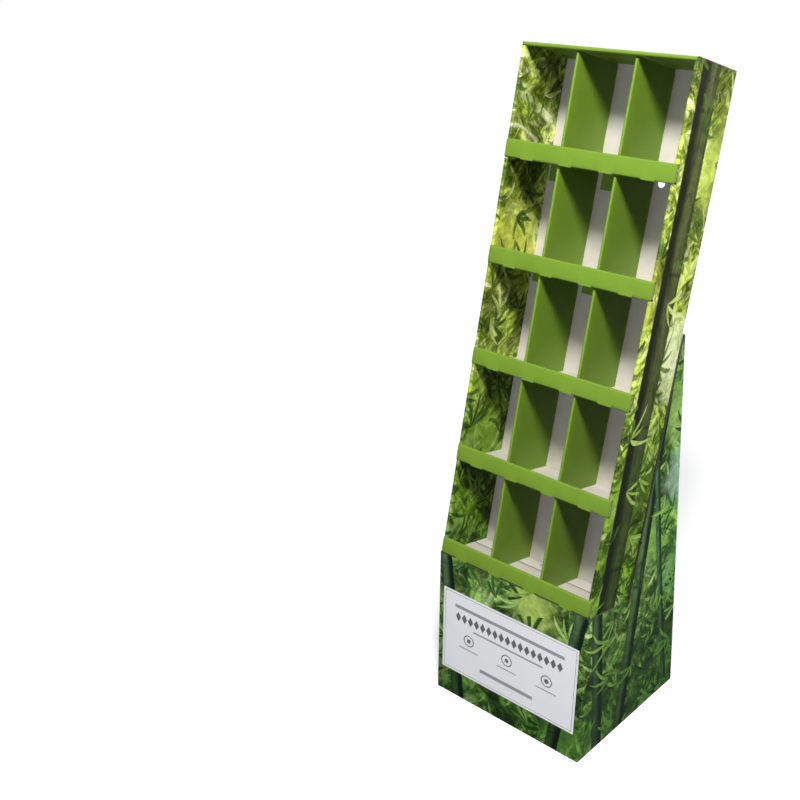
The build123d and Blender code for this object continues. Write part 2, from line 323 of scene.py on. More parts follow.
def circle(middle: Point, radius: float, count: int) -> list[Point]:
    """Points round a circle."""
    turns = [math.tau * i / count for i in range(count)]
    return [(middle[0] + radius * math.cos(a), middle[1] + radius * math.sin(a)) for a in turns]


def mirrored(points: list[Point]) -> list[Point]:
    """The same outline on the other side of the sheet's middle line."""
    return [(-u, v) for u, v in reversed(points)]


@dataclass
class Sheet:
    """A die-cut sheet: outline, openings and folds when flat, and where its flat root stands."""

    name: str
    outline: list[Point]
    folds: list[Fold]  # outermost first
    origin: np.ndarray
    axes: tuple[np.ndarray, np.ndarray, np.ndarray]  # across and up the flat sheet, then into the board
    openings: list[list[Point]] = field(default_factory=list)
    scores: list[tuple[Point, Point]] = field(default_factory=list)
    score_depth: float = 1.2
    score_width: float = 4.4
    guide_inset: float = 0.25  # of the medium's line from the cut edge
    board: float = BOARD
    flutes: Point = (0.0, 1.0)
    corrugated: bool = True
    step: float = 12.0
    grid: float = 24.0
    room: float = 8.0  # between the grid's points and the lines
    strips: int = 4  # in a square bend
    weld: float = 1e-3  # points nearer than this become one
    sliver: float = 1e-5  # twice the area up to which a triangle is left out
    slope: float = 0.6  # cosine of the least angle between the flutes and an edge that shows them

    def lines(self) -> list[list[Point]]:
        """Lines across the folds and scores, along which the flat mesh is divided."""
        corners = np.array(self.outline)
        lines = []
        for fold in self.folds:
            along, beyond, length = fold.axes()
            low, high = 0.0, length
            if not fold.limited:
                places = (corners - fold.start) @ along
                low, high = places.min(), places.max()
            count = self.strips if abs(fold.angle) <= 90 else 2 * self.strips
            for i in range(count + 1):
                shift = beyond * fold.arc(self.board) * i / count
                ends = [tuple(fold.start + along * place + shift) for place in (low, high)]
                lines.append(divided(ends, self.step, False))
        for start, end in self.scores:
            side = directions(start, end)[1] * self.score_width / 2
            for shift in (-side, 0 * side, side):
                lines.append(divided([tuple(start + shift), tuple(end + shift)], self.step, False))
        return lines

    def flat_mesh(self) -> tuple[np.ndarray, np.ndarray]:
        """Divides the flat sheet into triangles.

        Returns:
            Points on the flat sheet, and triangles that turn anticlockwise.
        """
        points: list[Point] = []
        edges: list[tuple[int, int]] = []
        for loop in [self.outline] + self.openings:
            line = divided(loop, self.step, True)
            start, count = len(points), len(line)
            points += line
            edges += [(start + i, start + (i + 1) % count) for i in range(count)]
        for line in self.lines():
            start = len(points)
            points += line
            edges += [(start + i, start + i + 1) for i in range(len(line) - 1)]
        fixed = np.array(points)
        low, high = fixed.min(axis=0), fixed.max(axis=0)
        across, up = np.meshgrid(np.arange(low[0], high[0], self.grid), np.arange(low[1], high[1], self.grid))
        for spot in np.stack([across.ravel(), up.ravel()], axis=1):
            if np.min(np.sum((fixed - spot) ** 2, axis=1)) > self.room**2:
                points.append(tuple(spot))
        made = delaunay_2d_cdt([Vector(p) for p in points], edges, [], 0, self.weld)
        flat = np.array([tuple(v) for v in made[0]])
        faces = np.array([face for face in made[2] if len(face) == 3])
        middle = flat[faces].mean(axis=1)
        keep = inside(self.outline, middle)
        for opening in self.openings:
            keep &= ~inside(opening, middle)
        faces = faces[keep]
        a, b, c = flat[faces[:, 0]], flat[faces[:, 1]], flat[faces[:, 2]]
        area = (b - a)[:, 0] * (c - a)[:, 1] - (b - a)[:, 1] * (c - a)[:, 0]
        faces = np.where((area < 0)[:, None], faces[:, ::-1], faces)[np.abs(area) > self.sliver]
        used = np.unique(faces)
        renumber = np.zeros(len(flat), dtype=int)
        renumber[used] = np.arange(len(used))
        return flat[used], renumber[faces]

    def folded(self, flat: np.ndarray, height: np.ndarray) -> np.ndarray:
        """Where points of the flat sheet stand once it is folded, by their height over the printed side."""
        points = np.column_stack([flat, height])
        for fold in self.folds:
            points = fold.turn(flat, points, self.board)
        return self.origin + points @ np.array(self.axes)

    def bent(self, flat: np.ndarray) -> np.ndarray:
        """How far round a fold each point lies: 0 on flat board, 1 at the middle of a bend."""
        bent = np.zeros(len(flat))
        for fold in self.folds:
            past, moved = fold.reach(flat)
            share = np.clip(past / fold.arc(self.board), 0, 1)
            bent = np.maximum(bent, np.where(moved, np.sin(math.pi * share), 0))
        return bent

    def rim(self, flat: np.ndarray, faces: np.ndarray) -> tuple[np.ndarray, np.ndarray]:
        """Finds the cut edges.

        Args:
            flat: Points on the flat sheet.
            faces: Its triangles.

        Returns:
            Edges with the board on their left, and at each point the way inwards for one millimetre.
        """
        runs = np.concatenate([faces[:, [0, 1]], faces[:, [1, 2]], faces[:, [2, 0]]])
        known = {(a, b) for a, b in runs.tolist()}
        edges = np.array([(a, b) for a, b in runs.tolist() if (b, a) not in known])
        way = unit(flat[edges[:, 1]] - flat[edges[:, 0]])
        left = np.column_stack([-way[:, 1], way[:, 0]])
        inwards = np.zeros_like(flat)
        np.add.at(inwards, edges[:, 0], left)
        np.add.at(inwards, edges[:, 1], left)
        size = np.maximum(np.sum(inwards**2, axis=1), 1.0)[:, None]
        return edges, inwards * 2 / size

    def build(self) -> bpy.types.Object:
        """Makes the folded sheet as an object, with the lines that its fluted medium follows.

        Returns:
            The object, its place in its mesh, without materials.
        """
        flat, faces = self.flat_mesh()
        edges, inwards = self.rim(flat, faces)
        count = len(flat)
        on_rim = np.unique(edges)
        order = np.full(count, -1)
        order[on_rim] = np.arange(len(on_rim))
        top = np.full(count, self.board)
        scored = np.zeros(count)
        for start, end in self.scores:
            along, aside, length = directions(start, end)
            place = (flat - start) @ along
            past = np.maximum(np.maximum(-place, place - length), 0)
            off = np.hypot((flat - start) @ aside, past)
            top[off < SMALL] -= self.score_depth
            scored = np.maximum(scored, np.clip(1 - off / self.score_width * 2, 0, 1))
        spots = [flat, flat]
        heights = [np.zeros(count), top]
        kinds = [Face.PRINTED.value] * len(faces) + [Face.PLAIN.value] * len(faces)
        polygons = faces[:, ::-1].tolist() + (faces + count).tolist()

        def wall(low: np.ndarray, high: np.ndarray, kind: Face) -> None:
            """Adds a strip of faces between two rings of points along the cut edges."""
            for (a, b), (c, d) in zip(low.tolist(), high.tolist()):
                polygons.append((a, b, d, c))
                kinds.append(kind.value)

        base = edges
        if self.corrugated:
            ring = order[edges]
            shut = flat[on_rim]
            sunk = shut + inwards[on_rim] * RECESS
            rings = [(shut, LINER), (sunk, LINER), (sunk, self.board - LINER), (shut, self.board - LINER)]
            steps = [Face.CUT, Face.CUT, Face.CAVITY, Face.CUT]
            for index, ((place, height), kind) in enumerate(zip(rings, steps)):
                spots.append(place)
                heights.append(np.full(len(place), height))
                nearer = ring + 2 * count + index * len(on_rim)
                wall(base, nearer, kind)
                base = nearer
        wall(base, edges + count, Face.CUT)

        chosen, along_rim = self.guides(flat, edges)
        spots.append(flat[along_rim] + inwards[along_rim] * self.guide_inset)
        heights.append(np.full(len(along_rim), self.board / 2))
        everywhere, level = np.concatenate(spots), np.concatenate(heights)
        places = self.folded(everywhere, level)
        first_guide = len(places) - len(along_rim)
        if np.linalg.det(np.array(self.axes)) < 0:
            polygons = [face[::-1] for face in polygons]

        mesh = bpy.data.meshes.new(self.name)
        loose = (chosen + first_guide).tolist() if len(chosen) else []
        mesh.from_pydata((places * MM).tolist(), loose, polygons)
        mesh.polygons.foreach_set("material_index", kinds)
        layer = mesh.uv_layers.new(name="UVMap")
        corner = np.zeros(len(mesh.loops), dtype=np.int32)
        mesh.loops.foreach_get("vertex_index", corner)
        layer.data.foreach_set("uv", (everywhere[corner] * MM).ravel())
        side = self.folded(everywhere, level + 2 * SMALL) - places
        deeper = everywhere.copy()
        deeper[first_guide:] += inwards[along_rim] * SMALL
        inward = self.folded(deeper, level) - places
        values = {
            "fold": self.bent(everywhere),
            "score": np.concatenate([scored, scored, np.zeros(len(places) - 2 * count)]),
            "guide": np.arange(len(places)) >= first_guide,
            "across": everywhere @ np.array([self.flutes[1], -self.flutes[0]]) * MM,
            "side": unit(side),
            "inward": unit(inward),
        }
        for name, value in values.items():
            kind = "FLOAT_VECTOR" if value.ndim == 2 else "BOOLEAN" if value.dtype == bool else "FLOAT"
            attribute = mesh.attributes.new(name, kind, "POINT")
            attribute.data.foreach_set("vector" if value.ndim == 2 else "value", value.ravel())
        mesh.update()
        obj = bpy.data.objects.new(self.name, mesh)
        bpy.context.scene.collection.objects.link(obj)
        return obj

    def guides(self, flat: np.ndarray, edges: np.ndarray) -> tuple[np.ndarray, np.ndarray]:
        """Picks the cut edges that cross the flutes.

        Args:
            flat: Points on the flat sheet.
            edges: All cut edges.

        Returns:
            The picked edges by their points' new order, and those points' numbers on the flat sheet.
        """
        if not self.corrugated:
            return np.zeros((0, 2), dtype=int), np.zeros(0, dtype=int)
        way = flat[edges[:, 1]] - flat[edges[:, 0]]
        length = np.linalg.norm(way, axis=1)
        crossing = np.abs(way @ np.array(self.flutes)) / length < self.slope
        picked = edges[crossing]
        numbers, turned = np.unique(picked, return_inverse=True)
        return turned.reshape(picked.shape), numbers


MARKS = ("guide", "across", "side", "inward", "medium")  # attributes that only the medium's nodes read


@dataclass(frozen=True)
class Fluting:
    """The wavy medium between the liners, seen wherever a cut crosses it. B flute."""

    height: float = 2.1
    paper: float = 0.18
    depth: float = 1.2
    points: float = 8.0  # along one wave
    weld: float = 1e-6  # metres; points nearer than this become one
    sharp: float = 30.0  # degrees from which an edge looks sharp

    def tree(self) -> Tree:
        """Geometry Nodes that grow the medium from a sheet's guide lines, with an input for each size."""
        tree = bpy.data.node_groups.new("fluted medium", "GeometryNodeTree")
        for name in ("Geometry", "Flute length", "Flute height", "Paper", "Depth", "Medium"):
            kind = {"Geometry": "Geometry", "Medium": "Material"}.get(name, "Float")
            tree.interface.new_socket(name, in_out="INPUT", socket_type=f"NodeSocket{kind}")
        tree.interface.new_socket("Geometry", in_out="OUTPUT", socket_type="NodeSocketGeometry")
        sizes = add(tree, "NodeGroupInput").outputs
        kinds = ("BOOLEAN", "FLOAT", "FLOAT_VECTOR", "FLOAT_VECTOR", "BOOLEAN")
        guide, across, side, inward, medium = (
            add(tree, "GeometryNodeInputNamedAttribute", settings={"data_type": kind}, Name=name)
            for name, kind in zip(MARKS, kinds)
        )
        point = {"domain": "POINT"}
        parts = add(tree, "GeometryNodeSeparateGeometry", sizes["Geometry"], guide, settings=point).outputs
        line = add(tree, "GeometryNodeMeshToCurve", parts["Selection"])
        step = add(tree, Op.OVER, sizes["Flute length"], self.points)
        line = add(tree, "GeometryNodeResampleCurve", settings={"mode": "LENGTH"}, Curve=line, Length=step)
        turns = add(tree, Op.TIMES, add(tree, Op.OVER, across, sizes["Flute length"]), math.tau)
        half = add(tree, Op.TIMES, sizes["Flute height"], 0.5)
        swing = add(tree, Op.TIMES, add(tree, Op.SINE, turns), half)
        shift = add(tree, Op.VECTOR_TIMES, side, swing)
        line = add(tree, "GeometryNodeSetPosition", line, Offset=shift)
        mesh = add(tree, "GeometryNodeCurveToMesh", line)
        deep = {"settings": {"mode": "EDGES"}, "Offset": inward, "Offset_Scale": sizes["Depth"]}
        strip = add(tree, "GeometryNodeExtrudeMesh", mesh, **deep).outputs["Mesh"]
        thick = {"settings": {"mode": "FACES"}, "Offset_Scale": sizes["Paper"], "Individual": False}
        front = add(tree, "GeometryNodeExtrudeMesh", strip, **thick)
        back = add(tree, "GeometryNodeFlipFaces", strip)

        def joined(*pieces: bpy.types.NodeSocket) -> Node:
            """Joins pieces of geometry, in this order."""
            node = add(tree, "GeometryNodeJoinGeometry")
            for piece in pieces:
                tree.links.new(piece, node.inputs[0])
            return node

        shell = joined(front.outputs["Mesh"], back.outputs["Mesh"])
        shell = add(tree, "GeometryNodeMergeByDistance", Geometry=shell, Distance=self.weld)
        marked = {"settings": {"data_type": "BOOLEAN", "domain": "FACE"}, "Name": "medium", "Value": True}
        shell = add(tree, "GeometryNodeStoreNamedAttribute", shell, **marked)
        whole = joined(parts["Inverted"], shell.outputs["Geometry"])
        whole = add(tree, "GeometryNodeRealizeInstances", whole)
        whole = add(tree, "GeometryNodeSetMaterial", whole, medium, sizes["Medium"])
        add(tree, "NodeGroupOutput", whole)
        return tree

    def grow(self, obj: bpy.types.Object, tree: Tree, medium: Material) -> None:
        """Grows the medium on a sheet and turns the result into its plain mesh.

        Args:
            obj: The folded sheet, with its guide lines.
            tree: The node tree from this class.
            medium: Material of the wavy paper.
        """
        modifier = obj.modifiers.new("medium", "NODES")
        modifier.node_group = tree
        sizes = {"Flute length": FLUTE, "Flute height": self.height, "Paper": self.paper, "Depth": self.depth}
        values = {name: size * MM for name, size in sizes.items()} | {"Medium": medium}
        for socket in tree.interface.items_tree:
            if socket.in_out == "INPUT" and socket.name in values:
                modifier[socket.identifier] = values[socket.name]
        plain = obj.data
        graph = bpy.context.evaluated_depsgraph_get()
        mesh = bpy.data.meshes.new_from_object(obj.evaluated_get(graph), depsgraph=graph)
        obj.modifiers.remove(modifier)
        obj.data = mesh
        bpy.data.meshes.remove(plain)
        for name in MARKS:
            if name in mesh.attributes:
                mesh.attributes.remove(mesh.attributes[name])
        mesh.name = obj.name
        mesh.shade_smooth()
        mesh.set_sharp_from_angle(angle=math.radians(self.sharp))


# Finishes
def new_material(name: str, coordinate: str = "UV") -> tuple[Material, Tree, Socket]:
    """Makes an empty material; gives it, its tree and each point's place on the sheet or in the room."""
    material = bpy.data.materials.new(name)
    material.use_nodes = True
    tree = material.node_tree
    tree.nodes.clear()
    return material, tree, add(tree, "ShaderNodeTexCoord").outputs[coordinate]


def close(material: Material, **inputs: object) -> Material:
    """Ends a material's tree in a Principled shader with these inputs, and gives the material back."""
    shader = add(material.node_tree, "ShaderNodeBsdfPrincipled", **inputs)
    add(material.node_tree, "ShaderNodeOutputMaterial", shader)
    return material


def mark(tree: Tree, name: str) -> Socket:
    """Value of one of the marks that a sheet carries: fold or score."""
    return add(tree, Op.ATTRIBUTE, settings={"attribute_name": name}).outputs["Fac"]


def washboard(tree: Tree, where: Socket, upright: bool, dip: float, grain: Socket, relief: float) -> Node:
    """Bump of a liner that dips a little between the flutes, which shows as soft bands in slanting light.

    Args:
        tree: The material's tree.
        where: Place of each point.
        upright: Whether the flutes run up the flat sheet.
        dip: How much the waves count.
        grain: Noise of the surface.
        relief: How much the noise counts.

    Returns:
        The bump.
    """
    across = add(tree, Op.PARTS, where).outputs[0 if upright else 1]
    wave = add(tree, Op.SINE, add(tree, Op.TIMES, across, math.tau / (FLUTE * MM)))
    height = add(tree, Op.TIMES_PLUS, grain, relief, add(tree, Op.TIMES, wave, dip))
    return add(tree, Op.BUMP, Strength=0.5, Distance=0.0006, Height=height)


def cracked(tree: Tree, where: Socket, ink: Socket, start: float, most: float, bare: str) -> Node:
    """Cracks the ink at the folds, so that edges look lighter.

    Args:
        tree: The material's tree.
        where: Place on the flat sheet.
        ink: The print.
        start: How rough a fold is where its cracks begin.
        most: How bare the deepest crack is.
        bare: Colour of the paper in the cracks.

    Returns:
        The cracked print.
    """
    rough = add(tree, Op.NOISE, where, Scale=220.0, Detail=4.0)
    crack = add(tree, Op.RANGE, add(tree, Op.TIMES, mark(tree, "fold"), rough), start, 0.85, 0.0, most)
    return add(tree, Op.MIX, crack, ink, bare)


@dataclass(frozen=True)
class FlutedPaper:
    """Uncoated paper liner on corrugated board: kraft or bleached, with fibres, a faint washboard and a
    painted shadow along its scores.
    """

    name: str
    body: str = "#CFC8BE"
    fibre: str = "#C3BBB0"
    upright: bool = True
    mapped: bool = True
    fold_mark: str = "#B9AE9F"
    score_shadow: str = "#38332B"

    def material(self) -> Material:
        """Builds the paper's material."""
        material, tree, where = new_material(self.name, "UV" if self.mapped else "Object")
        fibres = add(tree, Op.MAPPING, where, Scale=(1.0, 0.35, 1.0))
        grain = add(tree, Op.NOISE, fibres, Scale=900.0, Detail=3.0, Roughness=0.7)
        cloud = add(tree, Op.NOISE, where, Scale=30.0, Detail=3.0)
        blend = add(tree, Op.RANGE, add(tree, Op.TIMES, grain, cloud), 0.12, 0.42)
        paper = add(tree, Op.MIX, blend, self.fibre, self.body)
        worn = add(tree, Op.TIMES, mark(tree, "fold"), 0.25)
        paper = add(tree, Op.MIX, worn, paper, self.fold_mark)
        # Painted shadow: scored lines are darkened as if shade lay in their grooves.
        score = add(tree, Op.RANGE, mark(tree, "score"), 0.1, 0.4, 0.0, 0.9)
        paper = add(tree, Op.MIX, score, paper, self.score_shadow)
        bump = washboard(tree, where, self.upright, 0.05, grain, 0.1)
        return close(material, Base_Color=paper, Roughness=0.85, Normal=bump)


@dataclass(frozen=True)
class FloodPrint:
    """One solid ink under a matt varnish, offset printed and laminated on corrugated board.

    The ink lies a little unevenly.
    """

    name: str
    ink: str = "#719227"
    thin_ink: str = "#6A8A22"
    crack: str = "#9DB46C"
    upright: bool = True

    def material(self) -> Material:
        """Builds the printed board's material."""
        material, tree, where = new_material(self.name)
        cloud = add(tree, Op.NOISE, where, Scale=16.0, Detail=4.0, Roughness=0.6)
        speck = add(tree, Op.NOISE, where, Scale=420.0, Detail=2.0)
        mottle = add(tree, Op.RANGE, add(tree, Op.PLUS, cloud, speck), 0.75, 1.25)
        ink = add(tree, Op.MIX, mottle, self.thin_ink, self.ink)
        ink = cracked(tree, where, ink, 0.42, 0.35, self.crack)
        bump = washboard(tree, where, self.upright, 0.04, speck, 0.06)
        return close(material, Base_Color=ink, Roughness=0.5, Specular_IOR_Level=0.35, Normal=bump)


@dataclass(frozen=True)
class CutPaper:
    """Sawtooth-cut paper edge or the wavy medium: raw brown-grey fibre, rougher than its face. Also the
    near-black painted shade that closes the flutes inside a cut edge.
    """

    name: str
    light: str
    dark: str

    def material(self) -> Material:
        """Builds the raw paper's material."""
        material, tree, where = new_material(self.name, "Object")
        grain = add(tree, Op.NOISE, where, Scale=700.0, Detail=4.0, Roughness=0.75)
        paper = add(tree, Op.MIX, add(tree, Op.RANGE, grain, 0.3, 0.7), self.dark, self.light)
        bump = add(tree, Op.BUMP, Strength=0.6, Distance=0.0003, Height=grain)
        return close(material, Base_Color=paper, Roughness=0.95, Normal=bump)


def new_group(name: str, takes: str, gives: str) -> tuple[Tree, dict[str, Socket]]:
    """Makes a shader node group that takes a place and some numbers.

    Args:
        name: What the group draws.
        takes: Names of the numbers that it takes, with commas between them.
        gives: Names of the numbers that it gives.

    Returns:
        The group, and its inputs by name.
    """
    tree = bpy.data.node_groups.new(name, "ShaderNodeTree")
    tree.interface.new_socket("Vector", in_out="INPUT", socket_type="NodeSocketVector")
    for way, names in (("INPUT", takes), ("OUTPUT", gives)):
        for each in names.split(", "):
            tree.interface.new_socket(each, in_out=way, socket_type="NodeSocketFloat")
    return tree, {socket.name: socket for socket in add(tree, "NodeGroupInput").outputs}


def leaf_spray() -> Tree:
    """Node group that scatters fans of lance-shaped leaves over a sheet.

    Returns:
        A group with the leaves' mask, a random tone for each leaf, its half and how far along it is.
    """
    takes = "Density, Leaves, Length, Width, Cover, Fan, Scatter, Soft, Seed"
    tree, given = new_group("leaf spray", takes, "Mask, Tone, Half, Along")
    slide = add(tree, Op.JOINED, given["Seed"], given["Seed"])
    ripple, curl, start = 0.03, 0.9, 0.42  # metres, full turns a metre, full turns
    leaned, least_lean = -0.44, -0.28  # leaves
    base_power, tip_power, end = 0.62, 1.1, 0.985
    noise = add(tree, Op.FLAT_NOISE, given["Vector"], Scale=7.0).outputs["Color"]
    where = add(tree, Op.VECTOR_PLUS, given["Vector"], slide)
    where = add(tree, Op.VECTOR_PLUS, where, add(tree, Op.VECTOR_TIMES, noise, ripple))
    cell = add(tree, Op.CELLS, where, Scale=given["Density"], Randomness=1.0).outputs
    luck = add(tree, Op.COLOUR_PARTS, cell["Color"]).outputs
    away = add(tree, Op.VECTOR_MINUS, where, cell["Position"])
    reach = add(tree, Op.LENGTH, away)
    across, up, _ = add(tree, Op.PARTS, away).outputs
    angle = add(tree, Op.OVER, add(tree, Op.ANGLE, up, across), math.tau)
    angle = add(tree, Op.TIMES_PLUS, luck[0], given["Scatter"], angle)
    angle = add(tree, Op.PLUS, add(tree, Op.TIMES_PLUS, reach, curl, angle), start)
    angle = add(tree, Op.FRACTION, angle)
    turned = add(tree, Op.TIMES, angle, given["Leaves"])
    index = add(tree, Op.FLOOR, turned)
    lot = add(tree, Op.LOTS, add(tree, Op.JOINED, index, luck[2], given["Seed"])).outputs
    tilt = add(tree, Op.COLOUR_PARTS, lot["Color"]).outputs[1]
    tilt = add(tree, Op.TIMES_PLUS, tilt, leaned, least_lean)
    off = add(tree, Op.PLUS, add(tree, Op.MINUS, turned, index), tilt)
    half = add(tree, Op.GREATER, off, 0.0)
    off = add(tree, Op.TIMES, add(tree, Op.ABSOLUTE, off), reach)
    off = add(tree, Op.OVER, add(tree, Op.TIMES, off, math.tau), given["Leaves"])
    length = add(tree, Op.TIMES, add(tree, Op.TIMES_PLUS, lot["Value"], 0.5, 0.5), given["Length"])
    along = add(tree, Op.SHARE, reach, length)
    grow = add(tree, Op.POWER, along, base_power)
    taper = add(tree, Op.POWER, add(tree, Op.MINUS, 1.0, along), tip_power)
    wide = add(tree, Op.TIMES, add(tree, Op.TIMES, grow, taper), given["Width"])
    low = add(tree, Op.TIMES, given["Soft"], -1.0)
    mask = add(tree, Op.SMOOTH, add(tree, Op.MINUS, wide, off), low, given["Soft"])
    for value, limit in ((along, end), (angle, given["Fan"]), (luck[1], given["Cover"])):
        mask = add(tree, Op.TIMES, mask, add(tree, Op.LESS, value, limit))
    add(tree, "NodeGroupOutput", mask, lot["Value"], half, along)
    return tree


def cane() -> Tree:
    """Node group that draws one upright cane with rings.

    Returns:
        A group with the cane's mask, its roundness from side to side, and its rings.
    """
    tree, given = new_group("cane", "Place, Lean, Width, Ring gap, Seed", "Mask, Round, Ring")
    across, height, _ = add(tree, Op.PARTS, given["Vector"]).outputs
    sway_turn, sway_size, ring_dip, light_side = 5.0, 0.004, 0.004, 0.35
    lean = add(tree, Op.TIMES_PLUS, height, given["Lean"], given["Place"])
    sway = add(tree, Op.SINE, add(tree, Op.TIMES_PLUS, height, sway_turn, given["Seed"]))
    lean = add(tree, Op.TIMES_PLUS, sway, sway_size, lean)
    off = add(tree, Op.OVER, add(tree, Op.MINUS, across, lean), given["Width"])
    off = add(tree, Op.TIMES, off, 2.0)
    mask = add(tree, Op.SMOOTH, add(tree, Op.ABSOLUTE, off), 1.04, 0.9)
    lit = add(tree, Op.ABSOLUTE, add(tree, Op.PLUS, off, light_side))
    lit = add(tree, Op.SMOOTH, lit, 1.0, 0.0)
    level = add(tree, Op.TIMES_PLUS, add(tree, Op.TIMES, off, off), ring_dip, height)
    level = add(tree, Op.PLUS, add(tree, Op.OVER, level, given["Ring gap"]), given["Seed"])
    level = add(tree, Op.MINUS, add(tree, Op.FRACTION, level), 0.5)
    ring = add(tree, Op.SMOOTH, add(tree, Op.ABSOLUTE, level), 0.02, 0.005)
    add(tree, "NodeGroupOutput", mask, lit, ring)
    return tree


@dataclass(frozen=True)
class Spray:
    """One layer of leaves in the printed foliage. Sizes in millimetres."""

    spacing: float
    leaves: float
    length: float
    width: float
    cover: float
    dark: str
    light: str
    seed: float
    soft: float
    fan: float  # share of a full turn that the leaves of one fan fill
    scatter: float  # share of a full turn by which fans differ
    strength: float = 1.0

    def over(self, tree: Tree, where: Socket, under: Socket, group: Tree) -> Node:
        """Prints the layer over what is there.

        Args:
            tree: The material's tree.
            where: Place on the flat sheet.
            under: Colour below the layer.
            group: The leaf node group.

        Returns:
            The colour with the layer on it.
        """
        leaf = add(
            tree, Op.GROUP, settings={"node_tree": group}, Vector=where, Density=1 / (self.spacing * MM),
            Leaves=self.leaves, Length=self.length * MM, Width=self.width * MM, Cover=self.cover,
            Fan=self.fan, Scatter=self.scatter, Soft=self.soft * MM, Seed=self.seed,
        ).outputs
        tone = add(tree, Op.TIMES_PLUS, leaf["Half"], 0.3, leaf["Tone"])
        tone = add(tree, Op.RANGE, add(tree, Op.TIMES_PLUS, leaf["Along"], 0.7, tone), 0.3, 1.7)
        tint = add(tree, Op.MIX, tone, self.dark, self.light)
        return add(tree, Op.MIX, add(tree, Op.TIMES, leaf["Mask"], self.strength), under, tint)


@dataclass(frozen=True)
class Cane:
    """One cane in the printed foliage. Sizes in millimetres, place on the flat sheet at its foot."""

    place: float
    lean: float
    width: float
    dark: str
    light: str
    seed: float
    ring_gap: float

    def over(self, tree: Tree, where: Socket, under: Socket, group: Tree, streak: Socket) -> Node:
        """Prints the cane over what is there.

        Args:
            tree: The material's tree.
            where: Place on the flat sheet.
            under: Colour below the cane.
            group: The cane node group.
            streak: Noise that runs along the canes.

        Returns:
            The colour with the cane on it.
        """
        drawn = add(
            tree, Op.GROUP, settings={"node_tree": group}, Vector=where, Place=self.place * MM,
            Lean=self.lean, Width=self.width * MM, Ring_gap=self.ring_gap * MM, Seed=self.seed,
        ).outputs
        lit = add(tree, Op.RANGE, add(tree, Op.TIMES, drawn["Round"], streak), 0.1, 0.75)
        tint = add(tree, Op.MIX, lit, self.dark, self.light)
        tint = add(tree, Op.MIX, add(tree, Op.TIMES, drawn["Ring"], 0.6), tint, self.dark)
        return add(tree, Op.MIX, drawn["Mask"], under, tint)


